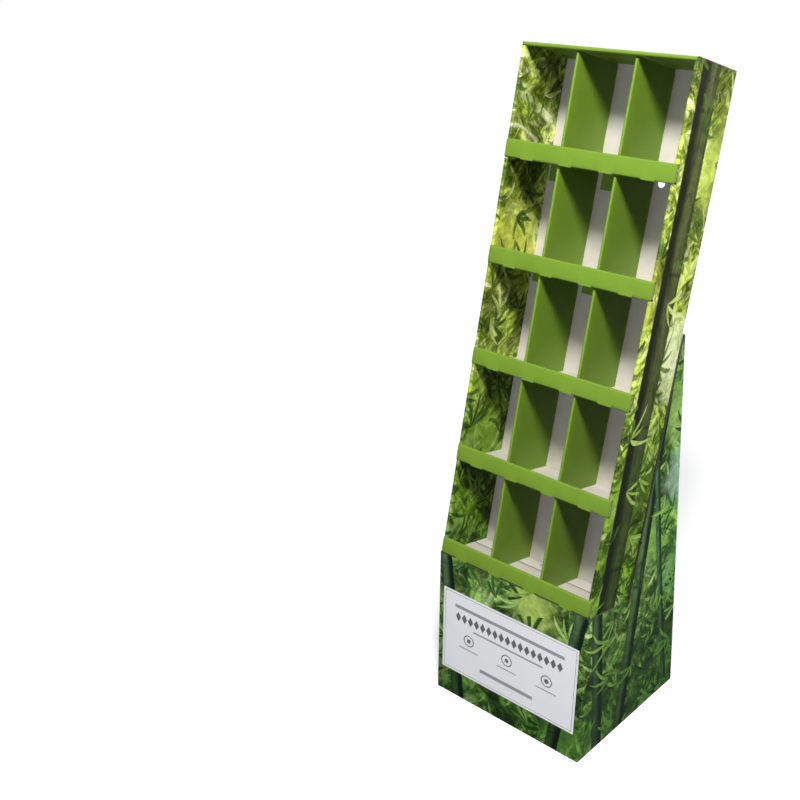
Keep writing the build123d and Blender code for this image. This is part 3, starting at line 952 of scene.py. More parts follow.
@dataclass(frozen=True)
class FoliagePrint:
    """Four-colour offset print of generic foliage, laminated on corrugated board, satin varnish.

    Soft ground, far leaves, near leaves, canes and a few leaves in front lie over one another.
    """

    name: str
    ground: tuple[tuple[float, str], ...]
    far: tuple[Spray, ...]
    canes: tuple[Cane, ...]
    near: tuple[Spray, ...]
    front: tuple[Spray, ...]
    tints: tuple[tuple[int, float, float, str], ...]  # axis, where the tint starts and is full, colour
    patch: str
    patch_cut: Point
    glows: tuple[tuple[float, float, float, str], ...]  # place across and up, radius, colour of open light
    shade: float  # how far the ink falls where the foliage lies in shade
    sun: float = 1.25
    blades: Point = (0.5, 1.4)  # how dark and light the streaks of distant blades are
    paper: Triple = (0.92, 0.94, 0.86)  # no ink is lighter than its paper, in linear colour
    bare: str = "#CFC7B4"

    def material(self, leaf_group: Tree, cane_group: Tree) -> Material:
        """Builds the printed board's material.

        Args:
            leaf_group: The leaf node group.
            cane_group: The cane node group.

        Returns:
            The material.
        """
        material, tree, where = new_material(self.name)
        blur = add(tree, Op.NOISE, where, Scale=11.0, Detail=6.0, Roughness=0.7, Distortion=1.8)
        ramp = add(tree, "ShaderNodeValToRGB", blur)
        stops = ramp.color_ramp.elements
        while len(stops) < len(self.ground):
            stops.new(0.5)
        for stop, (place, code) in zip(stops, self.ground):
            stop.position, stop.color = place, colour(code)
        ink = ramp.outputs[0]
        for layer in self.far:
            ink = layer.over(tree, where, ink, leaf_group)
        wide = add(tree, Op.NOISE, where, Scale=6.5, Detail=4.0, Roughness=0.65, Distortion=0.9)
        blades = []
        for turn in (0.9, -0.75):
            blade = add(tree, Op.INVERSE_MAPPING, where, Rotation=(0.0, 0.0, turn), Scale=(0.16, 1.0, 1.0))
            blades.append(add(tree, Op.NOISE, blade, Scale=15.0, Detail=3.0, Roughness=0.6, Distortion=0.9))
        blade = add(tree, Op.BETWEEN, add(tree, Op.RANGE, wide, 0.47, 0.53), *blades)
        ink = add(tree, Op.VECTOR_TIMES, ink, add(tree, Op.SMOOTH, blade, 0.4, 0.6, *self.blades))
        sun = add(tree, Op.NOISE, where, Scale=5.5, Detail=4.0, Roughness=0.6, Distortion=1.6)
        ink = add(tree, Op.VECTOR_TIMES, ink, add(tree, Op.SMOOTH, sun, 0.41, 0.58, self.shade, self.sun))
        patch = add(tree, Op.SMOOTH, wide, *self.patch_cut, 0.0, 0.85)
        ink = add(tree, Op.MIX, patch, ink, self.patch)
        grain = add(tree, Op.MAPPING, where, Scale=(1.0, 0.06, 1.0))
        streak = add(tree, Op.NOISE, grain, Scale=160.0, Detail=3.0)
        streak = add(tree, Op.RANGE, streak, 0.3, 0.7, 0.4, 1.2)
        for across, up, radius, code in self.glows:
            spot = add(tree, Op.DISTANCE, where, (across * MM, up * MM, 0.0))
            spot = add(tree, Op.TIMES_PLUS, wide, -1.6, add(tree, Op.OVER, spot, radius * MM))
            ink = add(tree, Op.MIX, add(tree, Op.SMOOTH, spot, 0.25, -0.5, 0.0, 0.8), ink, code)
        for layer in self.near:
            ink = layer.over(tree, where, ink, leaf_group)
        for one in self.canes:
            ink = one.over(tree, where, ink, cane_group, streak)
        for layer in self.front:
            ink = layer.over(tree, where, ink, leaf_group)
        dapple = add(tree, Op.NOISE, where, Scale=30.0, Detail=4.0, Roughness=0.7, Distortion=0.8)
        ink = add(tree, Op.VECTOR_TIMES, ink, add(tree, Op.RANGE, dapple, 0.36, 0.64, 0.68, 1.25))
        ink = add(tree, Op.VECTOR_LEAST, ink, self.paper)
        places = add(tree, Op.PARTS, where).outputs
        for axis, low, high, code in self.tints:
            ink = add(tree, Op.TINT, add(tree, Op.SMOOTH, places[axis], low * MM, high * MM), ink, code)
        ink = cracked(tree, where, ink, 0.45, 0.5, self.bare)
        speck = add(tree, Op.NOISE, where, Scale=420.0, Detail=2.0)
        bump = washboard(tree, where, True, 0.04, speck, 0.05)
        return close(material, Base_Color=ink, Roughness=0.42, Specular_IOR_Level=0.1, Normal=bump)


@dataclass(frozen=True)
class LabelPrint:
    """Coated label paper, laser printed in greys: a fine border, plain rules and a row of ringed shapes."""

    name: str = "coated label paper, printed"
    paper: str = "#FCFCFC"
    shade: str = "#F6F6F8"
    ink: str = "#3C3E40"
    soft_ink: str = "#8E9096"
    middle: Point = (-1.1, 175.9)
    half_width: float = 184.4
    half_height: float = 109.1
    margin: float = 5.0
    border: float = 1.4
    gap: float = 17.5  # between lozenges
    lozenges: float = 17.0
    lozenge: Point = (7.5, 12.5)
    lozenge_rise: float = 45.0  # heights from here on are over the label's middle
    band: float = 14.0  # half of the height that they may fill
    column: float = 108.0  # between the ringed shapes
    column_rise: float = -8.0
    ring_radius: float = 13.5
    ring_line: float = 2.6
    square: Point = (5.0, 5.0)
    diamond: Point = (6.5, 6.5)
    disc: float = 3.0
    rules: tuple[Triple, ...] = ((72.0, 150.0, 4.2), (22.0, 96.0, 2.2), (-72.0, 74.0, 4.6))  # rise, half size
    caption: Triple = (-33.0, 27.0, 1.5)

    def shape(self, tree: Tree, axes: Axes, centre: Point, half: Point, turned: bool = False) -> Node:
        """Draws a filled bar or, when turned, a lozenge.

        Args:
            tree: The material's tree.
            axes: Place across and up the label, in metres.
            centre: The shape's centre in millimetres.
            half: Half of its width and height in millimetres.
            turned: Whether it stands on a corner.

        Returns:
            A node whose value is 1 on the shape.
        """
        parts = []
        for axis, place, size in zip(axes, centre, half):
            off = add(tree, Op.ABSOLUTE, add(tree, Op.MINUS, axis, place * MM))
            parts.append(add(tree, Op.OVER, off, size * MM))
        return add(tree, Op.LESS, add(tree, Op.PLUS if turned else Op.GREATEST, *parts), 1.0)

    def ring(self, tree: Tree, axes: Axes, centre: Point, radius: float, line: float) -> Node:
        """Draws a ring.

        Args:
            tree: The material's tree.
            axes: Place across and up the label, in metres.
            centre: The ring's centre in millimetres.
            radius: Its middle radius in millimetres.
            line: The line's width in millimetres.

        Returns:
            A node whose value is 1 on the ring.
        """
        reach = add(tree, Op.DISTANCE, add(tree, Op.JOINED, *axes), (centre[0] * MM, centre[1] * MM, 0.0))
        off = add(tree, Op.ABSOLUTE, add(tree, Op.MINUS, reach, radius * MM))
        return add(tree, Op.LESS, off, line * MM / 2)

    def material(self) -> Material:
        """Builds the label's material."""
        material, tree, where = new_material(self.name)
        axes = tuple(add(tree, Op.PARTS, where).outputs[:2])
        sheet = add(tree, Op.MIX, add(tree, Op.NOISE, where, Scale=22.0, Detail=3.0), self.shade, self.paper)
        mid, high = self.middle
        outer, inner = (
            self.shape(tree, axes, self.middle, (self.half_width - inset, self.half_height - inset))
            for inset in (self.margin, self.margin + self.border)
        )
        row = add(tree, Op.PLUS, axes[0], (self.gap / 2 - mid) * MM)
        row = add(tree, Op.MODULO, row, self.gap * MM)
        row_height = high + self.lozenge_rise
        lozenge = self.shape(tree, (row, axes[1]), (self.gap / 2, row_height), self.lozenge, True)
        band = self.shape(tree, axes, (mid, row_height), (self.gap * self.lozenges / 2, self.band))
        places = (mid - self.column, mid, mid + self.column)
        spots = [(place, high + self.column_rise) for place in places]
        marks = [add(tree, Op.TIMES, lozenge, band)]
        marks += [self.ring(tree, axes, spot, self.ring_radius, self.ring_line) for spot in spots]
        marks.append(self.shape(tree, axes, spots[0], self.square))
        marks.append(self.shape(tree, axes, spots[1], self.diamond, True))
        marks.append(self.ring(tree, axes, spots[2], self.disc, 2 * self.disc))
        bars = [(mid, *rule) for rule in self.rules] + [(place, *self.caption) for place in places]
        faint = [add(tree, Op.MINUS, outer, inner)]
        faint += [self.shape(tree, axes, (place, high + rise), half) for place, rise, *half in bars]
        for shapes, ink in ((faint, self.soft_ink), (marks, self.ink)):
            mask = shapes[0]
            for other in shapes[1:]:
                mask = add(tree, Op.GREATEST, mask, other)
            sheet = add(tree, Op.MIX, add(tree, Op.TIMES, mask, 0.9), sheet, ink)
        fibre = add(tree, Op.NOISE, where, Scale=700.0, Detail=2.0)
        bump = add(tree, Op.BUMP, Strength=0.2, Distance=0.0002, Height=fibre)
        return close(material, Base_Color=sheet, Roughness=0.5, Normal=bump)


class Finishes:
    """All the stand's materials, made once."""

    def __init__(self) -> None:
        """Builds each finish."""
        leaves, canes = leaf_spray(), cane()
        self.tower = TOWER_PRINT.material(leaves, canes)
        self.plinth = PLINTH_PRINT.material(leaves, canes)
        self.green = FloodPrint("solid green ink on board").material()
        self.green_wide = FloodPrint("solid green ink on board, flutes across", upright=False).material()
        self.white = FlutedPaper("bleached paper liner").material()
        self.white_wide = FlutedPaper("bleached paper liner, flutes across", upright=False).material()
        self.kraft = FlutedPaper("kraft paper liner", "#B08A5E", "#9A7548", mapped=False).material()
        self.green_cut = CutPaper("cut edge of green board", "#7A8E44", "#647A34").material()
        self.green_medium = CutPaper("wavy medium of green board", "#5C7430", "#4A6024").material()
        self.cut = CutPaper("cut edge of paper liner", "#68665A", "#504E44").material()
        self.medium = CutPaper("wavy medium of recycled paper", "#5C584C", "#42403A").material()
        # Painted shade: near-black closes each cut edge's recess, standing for the shade deep in the flute
        # channels.
        self.flute_shade = CutPaper("painted shade deep in corrugated board", "#32312A", "#201F1A").material()
        self.label = LabelPrint().material()
        self.label_cut = CutPaper("cut edge of label paper", "#F0F0F2", "#D9DADF").material()


TOWER_PRINT = FoliagePrint(
    name="foliage print on tower board",
    ground=((0.30, "#3E4E10"), (0.41, "#7A8E28"), (0.50, "#A6BC42"), (0.59, "#D2E070"), (0.70, "#F4F8C0")),
    far=(
        Spray(
            52, 5, 50, 12, 1.0, "#7C9432", "#C8D668",
            seed=1.3, soft=2.2, strength=0.7, fan=0.4, scatter=0.9,
        ),
        Spray(
            64, 8, 60, 12, 1.0, "#B4C656", "#EEF4B0",
            seed=5.1, soft=1.6, strength=0.75, fan=0.34, scatter=0.8,
        ),
        Spray(
            70, 9, 68, 13, 0.9, "#4A661E", "#98B446",
            seed=7.9, soft=1.2, strength=0.8, fan=0.45, scatter=0.6,
        ),
    ),
    near=(
        Spray(104, 11, 112, 16, 0.9, "#26380F", "#7C9A38", seed=9.7, soft=0.9, fan=0.273, scatter=0.5),
        Spray(92, 10, 96, 15, 0.75, "#A6BE48", "#F4F8B4", seed=14.2, soft=0.8, fan=0.3, scatter=0.5),
        Spray(88, 6, 90, 15, 0.7, "#6A8C34", "#DCE890", seed=21.5, soft=0.8, fan=0.2, scatter=1.0),
    ),
    canes=(
        Cane(285, 0.014, 74, "#1F2412", "#5A6038", seed=0.2, ring_gap=310),
        Cane(-292, 0.02, 58, "#1C2612", "#66743A", seed=2.2, ring_gap=280),
        Cane(-228, -0.035, 14, "#4A5624", "#A4AE5C", seed=0.7, ring_gap=170),
        Cane(-60, 0.03, 60, "#1C2612", "#62703A", seed=3.1, ring_gap=300),
        Cane(90, -0.02, 34, "#323C1A", "#8E9A50", seed=0.9, ring_gap=220),
        Cane(455, 0.02, 36, "#262E16", "#737F42", seed=1.1, ring_gap=240),
    ),
    front=(
        Spray(
            134, 10, 108, 15, 0.4, "#A4BE48", "#EEF8A4",
            seed=33.1, soft=0.9, fan=0.3, scatter=0.4, strength=0.9,
        ),
        Spray(
            98, 9, 104, 17, 0.75, "#22360E", "#648A34",
            seed=41.7, soft=1.0, fan=0.4444, scatter=0.7, strength=0.85,
        ),
    ),
    tints=((1, 760, 20, "#9CC088"),),
    patch="#F4F6C4",
    patch_cut=(0.57, 0.68),
    glows=(
        (214, 560, 90, "#F4FAC8"), (222, 930, 110, "#CFE468"),
        (330, 250, 70, "#C4E060"), (420, 640, 120, "#CCD850"),
        (-214, 700, 110, "#F4FAC8"), (-420, 700, 130, "#D2DA58"),
        (-450, 260, 100, "#AFCB4C"), (0, 700, 160, "#E2EE96"),
    ),
    shade=0.4,
)

PLINTH_PRINT = FoliagePrint(
    name="foliage print on plinth board",
    ground=((0.30, "#1E3C1C"), (0.41, "#446C30"), (0.50, "#74A044"), (0.60, "#A8CC66"), (0.71, "#E0F0B4")),
    far=(
        Spray(
            52, 5, 50, 12, 1.0, "#44702E", "#8CBC54",
            seed=2.6, soft=2.2, strength=0.7, fan=0.4, scatter=0.9,
        ),
        Spray(
            64, 8, 60, 12, 0.9, "#7CB04A", "#CCE88C",
            seed=7.4, soft=1.6, strength=0.7, fan=0.34, scatter=0.8,
        ),
        Spray(
            70, 9, 68, 13, 0.9, "#1C3C1C", "#54803A",
            seed=4.4, soft=1.2, strength=0.8, fan=0.45, scatter=0.6,
        ),
    ),
    near=(
        Spray(100, 11, 108, 16, 0.85, "#102614", "#4A7834", seed=11.3, soft=0.9, fan=0.273, scatter=0.5),
        Spray(90, 10, 94, 15, 0.75, "#6EA244", "#D4EE94", seed=17.8, soft=0.8, fan=0.3, scatter=0.5),
        Spray(88, 6, 88, 15, 0.6, "#3A6C30", "#A0CC60", seed=25.1, soft=0.8, fan=0.2, scatter=1.0),
    ),
    canes=(
        Cane(268, -0.12, 40, "#10241A", "#54704A", seed=0.4, ring_gap=240),
        Cane(352, 0.10, 42, "#10241A", "#607E4C", seed=1.9, ring_gap=260),
        Cane(560, -0.22, 22, "#1C3A28", "#648A5C", seed=2.7, ring_gap=200),
        Cane(128, 0.16, 34, "#10241A", "#54704A", seed=3.3, ring_gap=220),
        Cane(-140, -0.12, 36, "#10241A", "#54704A", seed=0.8, ring_gap=230),
        Cane(-300, 0.08, 40, "#10241A", "#607E4C", seed=1.2, ring_gap=260),
        Cane(-430, -0.06, 28, "#1C3A28", "#648A5C", seed=2.1, ring_gap=200),
        Cane(-700, 0.05, 44, "#10241A", "#54704A", seed=0.1, ring_gap=280),
        Cane(-860, -0.04, 30, "#10241A", "#648A5C", seed=1.6, ring_gap=220),
    ),
    front=(
        Spray(130, 10, 102, 15, 0.5, "#5E9038", "#B0D66C", seed=39.4, soft=0.9, fan=0.3, scatter=0.4),
        Spray(
            118, 9, 96, 15, 0.45, "#163018", "#467434",
            seed=47.2, soft=1.0, fan=0.3333, scatter=0.7, strength=0.85,
        ),
    ),
    tints=((1, 430, 20, "#94AE90"), (0, 205, 215, "#DCE4D6"), (0, 420, 560, "#E4F6EA")),
    patch="#D4EAA4",
    patch_cut=(0.56, 0.67),
    glows=(
        (525, 780, 130, "#B4D47C"), (540, 590, 110, "#D0EADC"),
        (455, 470, 90, "#9CCB64"), (560, 330, 90, "#98CB7C"),
        (60, 330, 80, "#C8E070"), (-150, 250, 70, "#B4D468"), (-520, 640, 150, "#C8E4B8"),
        (-480, 260, 100, "#9CCB6C"), (-790, 420, 160, "#B4DC94"), (150, 40, 80, "#86B85A"),
    ),
    shade=0.38,
)


# Sub-assemblies
@dataclass
class Plinth:
    """The printed sleeve with its wings, from the front panel round both sides to the glued back."""

    height: float = 370.0
    half: float = 200.0
    wing_length: float = 590.0
    wing_gap: float = 0.6
    notch_height: float = 134.0
    notch_size: float = 5.0
    left_short: float = 1.3  # by which the left wing ends lower
    top_play: float = 0.1
    heel: Point = (200.15, 0.0)
    heel_cut: float = 0.46  # how far the back panel stays off the floor
    flap: tuple[float, float, float, float] = (300.0, 600.0, 17.0, 34.6)  # low, high, slant, width
    flap_inset: float = 3.1  # of the flap's face from the side panel's
    strip: float = 3.3  # of the back panel beside the flap, past its fold

    def wing_line(self) -> tuple[np.ndarray, np.ndarray]:
        """Slanted edge of the side panels as (y, z), from the seat to its top."""
        foot = SEAT + DEPTH * (TOWER_DEPTH + self.wing_gap)
        return (foot + SLANT * -FIT)[1:], (foot + SLANT * self.wing_length)[1:]

    def back_line(self) -> tuple[np.ndarray, float]:
        """Unit direction (y, z) and length of the back panel's outer face."""
        rise = self.wing_line()[1] - np.array(self.heel)
        reach = math.hypot(*rise)
        angle = math.atan2(rise[1], rise[0]) - math.asin(BOARD / reach)
        return np.array([math.cos(angle), math.sin(angle)]), math.sqrt(reach**2 - BOARD**2)

    def sheet(self) -> Sheet:
        """The sleeve's sheet, flat on its front panel.

        Returns:
            The sheet: front in the middle, sides left and right, back and glue flap at the far left.
        """
        way, length = self.back_line()
        inset = np.array([-way[1], way[0]])
        seat_back, wing_top = self.wing_line()
        heel = np.array(self.heel)
        fold = self.half - BEND
        shift = fold + QUARTER - FRONT - BEND

        def side(place: np.ndarray) -> Point:
            """Flat place, on the right side panel, of a point (y, z)."""
            return float(place[0] + shift), float(place[1])

        def back(past: float, along: float) -> Point:
            """Flat place on the back panel, past its left fold and along it from the heel."""
            at = heel + way * along + inset * (BEND - past)
            return -float(at[0] + shift), float(at[1])

        run = (wing_top - seat_back) / np.linalg.norm(wing_top - seat_back)
        into = np.array([run[1], -run[0]]) * self.notch_size / 2
        low, high = (seat_back + run * (self.notch_height + end * self.notch_size / 2) for end in (-1, 1))
        notch = [low, low + into, high + into, high]
        front_top = self.height - BOARD * math.tan(LEAN) - self.top_play
        fold_top = self.height - BEND * math.tan(LEAN)
        right = [side(place) for place in [heel, heel + way * length, wing_top] + notch[::-1] + [seat_back]]
        right += [(fold + QUARTER, fold_top), (fold, front_top)]
        near_top = wing_top - run * self.left_short
        left = mirrored([side(place) for place in [near_top] + notch[::-1] + [seat_back]] + right[-2:])
        flap_fold = QUARTER + 2 * self.half - BEND - self.flap_inset - BEND
        strip, flap_bend = flap_fold + self.strip, flap_fold + QUARTER
        flap_low, flap_high, slant, width = self.flap
        free = flap_bend + width
        rear = [
            (QUARTER, length), (strip, length), (strip, flap_high + SLIT), (flap_fold, flap_high + SLIT),
            (flap_fold, flap_high), (flap_bend, flap_high), (free, flap_high - slant),
            (free, flap_low + slant), (flap_bend, flap_low), (flap_fold, flap_low),
            (flap_fold, flap_low - SLIT), (strip, flap_low - SLIT),
            (strip, self.heel_cut), (0, self.heel_cut),
        ]
        folds = [
            Fold(back(flap_fold, flap_high), back(flap_fold, flap_low), limited=True),
            Fold(back(0, length), back(0, 0)),
            Fold((-fold, self.height), (-fold, 0)),
            Fold((fold, 0), (fold, self.height)),
        ]
        outline = right + left + [back(past, along) for past, along in rear]
        return Sheet("plinth_sleeve_board", outline, folds, FRONT * BACKWARDS, (ACROSS, UPWARDS, BACKWARDS))


@dataclass
class Tower:
    """The printed shell: one back panel and two doubled side walls, folded at the front."""

    sunk: float = 80.0
    hole_radius: float = 9.0
    hole_place: Point = (85.0, 876.0)
    hole_points: int = 28
    tab_front: float = 44.8
    tab_back: float = 115.2
    foot_front: float = 18.4  # front edge of the part that stands inside the plinth
    foot_top: float = -19.6
    panel_front: float = 7.2  # front edge of the cap's panel, behind its hem

    def sheet(self) -> Sheet:
        """The shell's sheet, flat on its back panel.

        Returns:
            The sheet: back in the middle, then on each side the outer layer, two folds and the inner layer.
        """
        rear = TOWER_HALF - BEND
        outer_front = rear + QUARTER + TOWER_DEPTH - 2 * BEND
        second = outer_front + QUARTER + WALL - 2 * BEND
        inner_front = second + QUARTER

        def outer(depth: float) -> float:
            """Flat place of a depth on the outer layer."""
            return outer_front + BEND - depth

        def inner(depth: float) -> float:
            """Flat place of a depth on the inner layer."""
            return inner_front + depth - BEND

        end = TOWER_DEPTH - BEND
        clear = LIP_BACK + FIT
        sink = -self.sunk
        lip_top = LIP_HEIGHT + FIT
        seam = outer_front + QUARTER * 2 / 3
        under = BOARD / math.cos(CAP_TILT)
        panel = self.panel_front
        right = [
            (outer(self.foot_front), sink), (outer(clear), self.foot_top), (outer(clear), lip_top),
            (inner(clear), lip_top), (inner(clear), self.foot_top), (inner(self.foot_front), sink),
            (inner(end), sink), (inner(end), cap_top(end) - under), (inner(panel), cap_top(panel) - under),
            (inner(panel), cap_top(panel) - HEM_DROP), (seam, cap_top(1) - HEM_DROP), (seam, cap_top(0.5)),
            (outer(BEND), cap_top(BEND)), (rear + QUARTER, cap_top(end)), (rear, cap_top(TOWER_DEPTH)),
        ]
        openings = []
        for row in range(ROWS):
            low = row * PITCH
            pair = [rectangle(inner(self.tab_front), inner(self.tab_back), low - FIT, low + BOARD + FIT)]
            if row:
                pair.append(rectangle(outer(clear), inner(clear), low - FIT, low + lip_top))
            openings += [each for opening in pair for each in (opening, mirrored(opening))]
        openings.append(circle(self.hole_place, self.hole_radius, self.hole_points))
        folds = [
            each
            for place in (second, outer_front, rear)
            for each in (Fold((place, 0), (place, TOWER_HEIGHT)), Fold((-place, TOWER_HEIGHT), (-place, 0)))
        ]
        origin = SEAT + DEPTH * TOWER_DEPTH
        return Sheet("tower_board", right + mirrored(right), folds, origin, (ACROSS, SLANT, -DEPTH), openings)


@dataclass
class Cap:
    """The top panel with its doubled front hem and short rear flange."""

    hem_depth: float = 7.0
    half: float = 193.4
    flange_half: float = 188.4
    flange: float = 7.0
    length: float = 157.9

    def sheet(self) -> Sheet:
        """The cap's sheet, flat on its panel, with the front to the top of the drawing."""
        deep = DEPTH * math.cos(CAP_TILT) - SLANT * math.sin(CAP_TILT)
        up = SLANT * math.cos(CAP_TILT) + DEPTH * math.sin(CAP_TILT)
        first = -BEND
        second = first + QUARTER + CAP_HEM - 2 * BEND
        third = second + QUARTER + self.hem_depth - 2 * BEND
        front = third + QUARTER + CAP_HEM - 2 * BEND
        rear = -self.length + BEND
        end = rear - QUARTER - (self.flange - BEND)
        right = [
            (self.flange_half, end), (self.flange_half, rear), (self.flange_half + SLIT, rear),
            (self.flange_half + SLIT, -self.length), (self.half, -self.length), (self.half, front),
        ]
        folds = [Fold((self.half, place), (-self.half, place)) for place in (third, second, first)]
        folds.append(Fold((-self.flange_half, rear), (self.flange_half, rear), limited=True))
        origin = SEAT + SLANT * TOWER_HEIGHT
        return Sheet(
            "top_cap_board", right + mirrored(right), folds, origin, (ACROSS, -deep, -up), flutes=(1.0, 0.0)
        )


@dataclass
class Shelf:
    """A shelf: floor, doubled front lip with lock tabs, side tabs and rear flanges."""

    row: int
    lip_half: float = 196.4
    floor_half: float = POCKET_HALF - FIT
    floor_front: float = -1.0
    floor_back: float = 157.8
    tab_half: float = floor_half + 4.0
    tab_front: float = 45.0
    tab_back: float = 115.0
    lock_half: float = 15.0
    lock_drop: float = 0.8
    lock_taper: float = 0.8
    lock_play: float = 0.6
    lock_places: tuple[float, ...] = (-140.0, -47.0, 47.0, 140.0)
    lip_play: float = 0.4  # between the lip's inner layer and the floor
    slit: float = 0.4
    flange_drop: float = 41.0
    flange_spans: tuple[Point, ...] = ((-51.0, 51.0), (-182.0, -81.0))
    flange_corner: Point = (2.4, 0.72)
    foot_slot: Point = (61.8, 106.0)
    foot_half: float = 3.4
    tongue_root: float = 1.2  # how far a lock's tongue reaches back over the lip's fold
    crease: float = 113.6
    crease_end: float = 0.5  # from the floor's sides
    eye: tuple[float, float, float, float] = (-14.5, -6.5, 143.8, 146.8)
    eye_rim: float = 0.6

    def flange(self, low: float, high: float, rear: float, end: float) -> list[Point]:
        """Outline of a rear flange.

        Args:
            low: Its left edge.
            high: Its right edge.
            rear: Where it folds.
            end: Its free edge.

        Returns:
            Its points from right to left.
        """
        corner, cut = self.flange_corner
        return [
            (high + SLIT, self.floor_back), (high + SLIT, rear), (high, rear), (high, end - corner),
            (high - cut, end - cut), (high - corner, end), (low + corner, end), (low + cut, end - cut),
            (low, end - corner), (low, rear), (low - SLIT, rear), (low - SLIT, self.floor_back),
        ]

    def sheet(self) -> Sheet:
        """The shelf's sheet, flat on its floor, with the rear to the top of the drawing."""
        first = self.floor_front + BEND
        second = first - QUARTER - (LIP_HEIGHT - 2 * BEND)
        third = second - QUARTER - (LIP_BACK - self.floor_front - 2 * BEND)
        inner_end = third - QUARTER - (LIP_HEIGHT - BEND - BOARD - self.lip_play)
        lock_end = inner_end - (BOARD + self.lip_play + self.lock_drop)
        rear = self.floor_back - BEND
        flange_end = rear + QUARTER + self.flange_drop + BOARD - BEND
        side = [
            (self.lip_half, inner_end), (self.lip_half, first), (self.floor_half, first),
            (self.floor_half, self.tab_front), (self.tab_half, self.tab_front),
            (self.tab_half, self.tab_back), (self.floor_half, self.tab_back),
            (self.floor_half, self.floor_back),
        ]
        locks = []
        for place in self.lock_places:
            low, high, taper = place - self.lock_half, place + self.lock_half, self.lock_taper
            locks += [(low, inner_end), (low + taper, lock_end), (high - taper, lock_end), (high, inner_end)]
        flanges = [at for low, high in self.flange_spans for at in self.flange(low, high, rear, flange_end)]
        folds = [Fold((high, rear), (low, rear), angle=-90, limited=True) for low, high in self.flange_spans]
        reach = self.lock_half + self.lock_play
        tongues = [place + self.lip_half for place in self.lock_places]
        spans = tuple((middle - reach + FIT, middle + reach - FIT) for middle in tongues)
        folds += [
            Fold((-self.lip_half, place), (self.lip_half, place), tongues=spans if place == first else ())
            for place in (third, second, first)
        ]
        openings = []
        root, past, end = first - QUARTER, first + self.tongue_root, LIP_BACK + FIT
        for place in self.lock_places:
            low, high = place - reach, place + reach
            left, right = low + self.slit, high - self.slit
            slot = [(low, root), (left, root), (left, past), (right, past), (right, root), (high, root)]
            openings.append(slot + [(high, end), (low, end)])
        for place in DIVIDER_PLACES.values():
            openings.append(rectangle(place - self.foot_half, place + self.foot_half, *self.foot_slot))
        scores = []
        # On the bottom shelf a long crease and two short scores along the eye take the liner's painted score
        # shadow, which also darkens the eye.
        if self.row == 0:
            openings.append(rectangle(*self.eye))
            low, high, near, far = self.eye
            reach = self.floor_half - self.crease_end
            scores.append(((-reach, self.crease), (reach, self.crease)))
            scores += [((low, place), (high, place)) for place in (near - self.eye_rim, far + self.eye_rim)]
        outline = locks + side + flanges + mirrored(side)
        outline.insert(0, outline.pop())
        origin = SEAT + SLANT * self.row * PITCH
        name = f"shelf_{self.row + 1}_board"
        axes = (ACROSS, DEPTH, SLANT)
        return Sheet(name, outline, folds, origin, axes, openings, scores, flutes=(1.0, 0.0))


@dataclass
class Divider:
    """A divider: a sheet folded double at its front edge, with a foot on each layer."""

    row: int
    side: str
    radius: float = 3.2
    front: float = 6.3
    back: float = 157.6
    nose: float = 5.0
    chamfer: float = 9.0
    foot: Point = (62.0, 100.0)
    foot_end: float = 0.2
    clear: float = 0.3
    fold_points: int = 8
    first: int = -5  # of the outline's points, the lower rear corner of its left layer

    def top(self, depth: float) -> float:
        """Height of the divider's upper edge at a depth, its front corner rounded."""
        under_cap = cap_top(depth) - HEM_DROP - self.row * PITCH
        height = (under_cap if self.row == ROWS - 1 else PITCH) - self.clear
        into = depth - self.front
        if into < self.nose:
            height -= self.nose - math.sqrt(self.nose**2 - (self.nose - into) ** 2)
        return height

    def sheet(self) -> Sheet:
        """The divider's sheet, flat on its right layer, the fold in the middle."""
        arc = (self.radius - BOARD / 2) * math.pi
        fold = -(self.front + self.radius)
        middle = fold + arc / 2
        low, high = self.foot
        bend = self.front + self.nose
        shoulder = self.back - self.chamfer

        def layer(way: float, shift: float) -> list[Point]:
            """Outline of one layer, from its foot's front edge round to its nose."""
            corners = [
                (low, BOARD), (low, self.foot_end), (high, self.foot_end), (high, BOARD), (self.back, BOARD),
                (self.back, self.top(self.back) - self.chamfer), (shoulder, self.top(shoulder)),
                (bend, self.top(bend)),
            ]
            return [(shift + way * depth, height) for depth, height in corners]

        outline = layer(1, 2 * middle)
        for i in range(self.fold_points + 1):
            turned = 1 - i / self.fold_points
            depth = self.front + self.radius * (1 - math.sin(math.pi * turned))
            outline.append((fold + arc * turned, self.top(depth)))
        outline += layer(-1, 0.0)[::-1]
        folds = [Fold((fold, 0), (fold, PITCH), angle=180, radius=self.radius)]
        origin = SEAT + ACROSS * (DIVIDER_PLACES[self.side] + self.radius) + SLANT * self.row * PITCH
        name = f"divider_{self.row + 1}_{self.side}_board"
        outline = outline[self.first :] + outline[: self.first]
        return Sheet(name, outline, folds, origin, (-DEPTH, SLANT, -ACROSS))


@dataclass
class Label:
    """The paper label glued to the plinth's front panel."""

    left: float = -185.5
    right: float = 183.3
    low: float = 66.8
    high: float = 285.0
    paper: float = 0.3
    corner: float = 1.5
    corner_steps: int = 4

    def sheet(self) -> Sheet:
        """The label's sheet with its small rounded corners."""
        r = self.corner
        low, high = self.low + r, self.high - r
        outline = []
        left, right = self.left + r, self.right - r
        for quarter, (u, v) in enumerate(((right, high), (left, high), (left, low), (right, low))):
            for i in range(self.corner_steps + 1):
                turn = math.radians(90 * (quarter + i / self.corner_steps))
                outline.append((u + r * math.cos(turn), v + r * math.sin(turn)))
        origin = (FRONT - self.paper) * BACKWARDS
        axes = (ACROSS, UPWARDS, BACKWARDS)
        return Sheet("front_label_paper", outline, [], origin, axes, board=self.paper, corrugated=False)


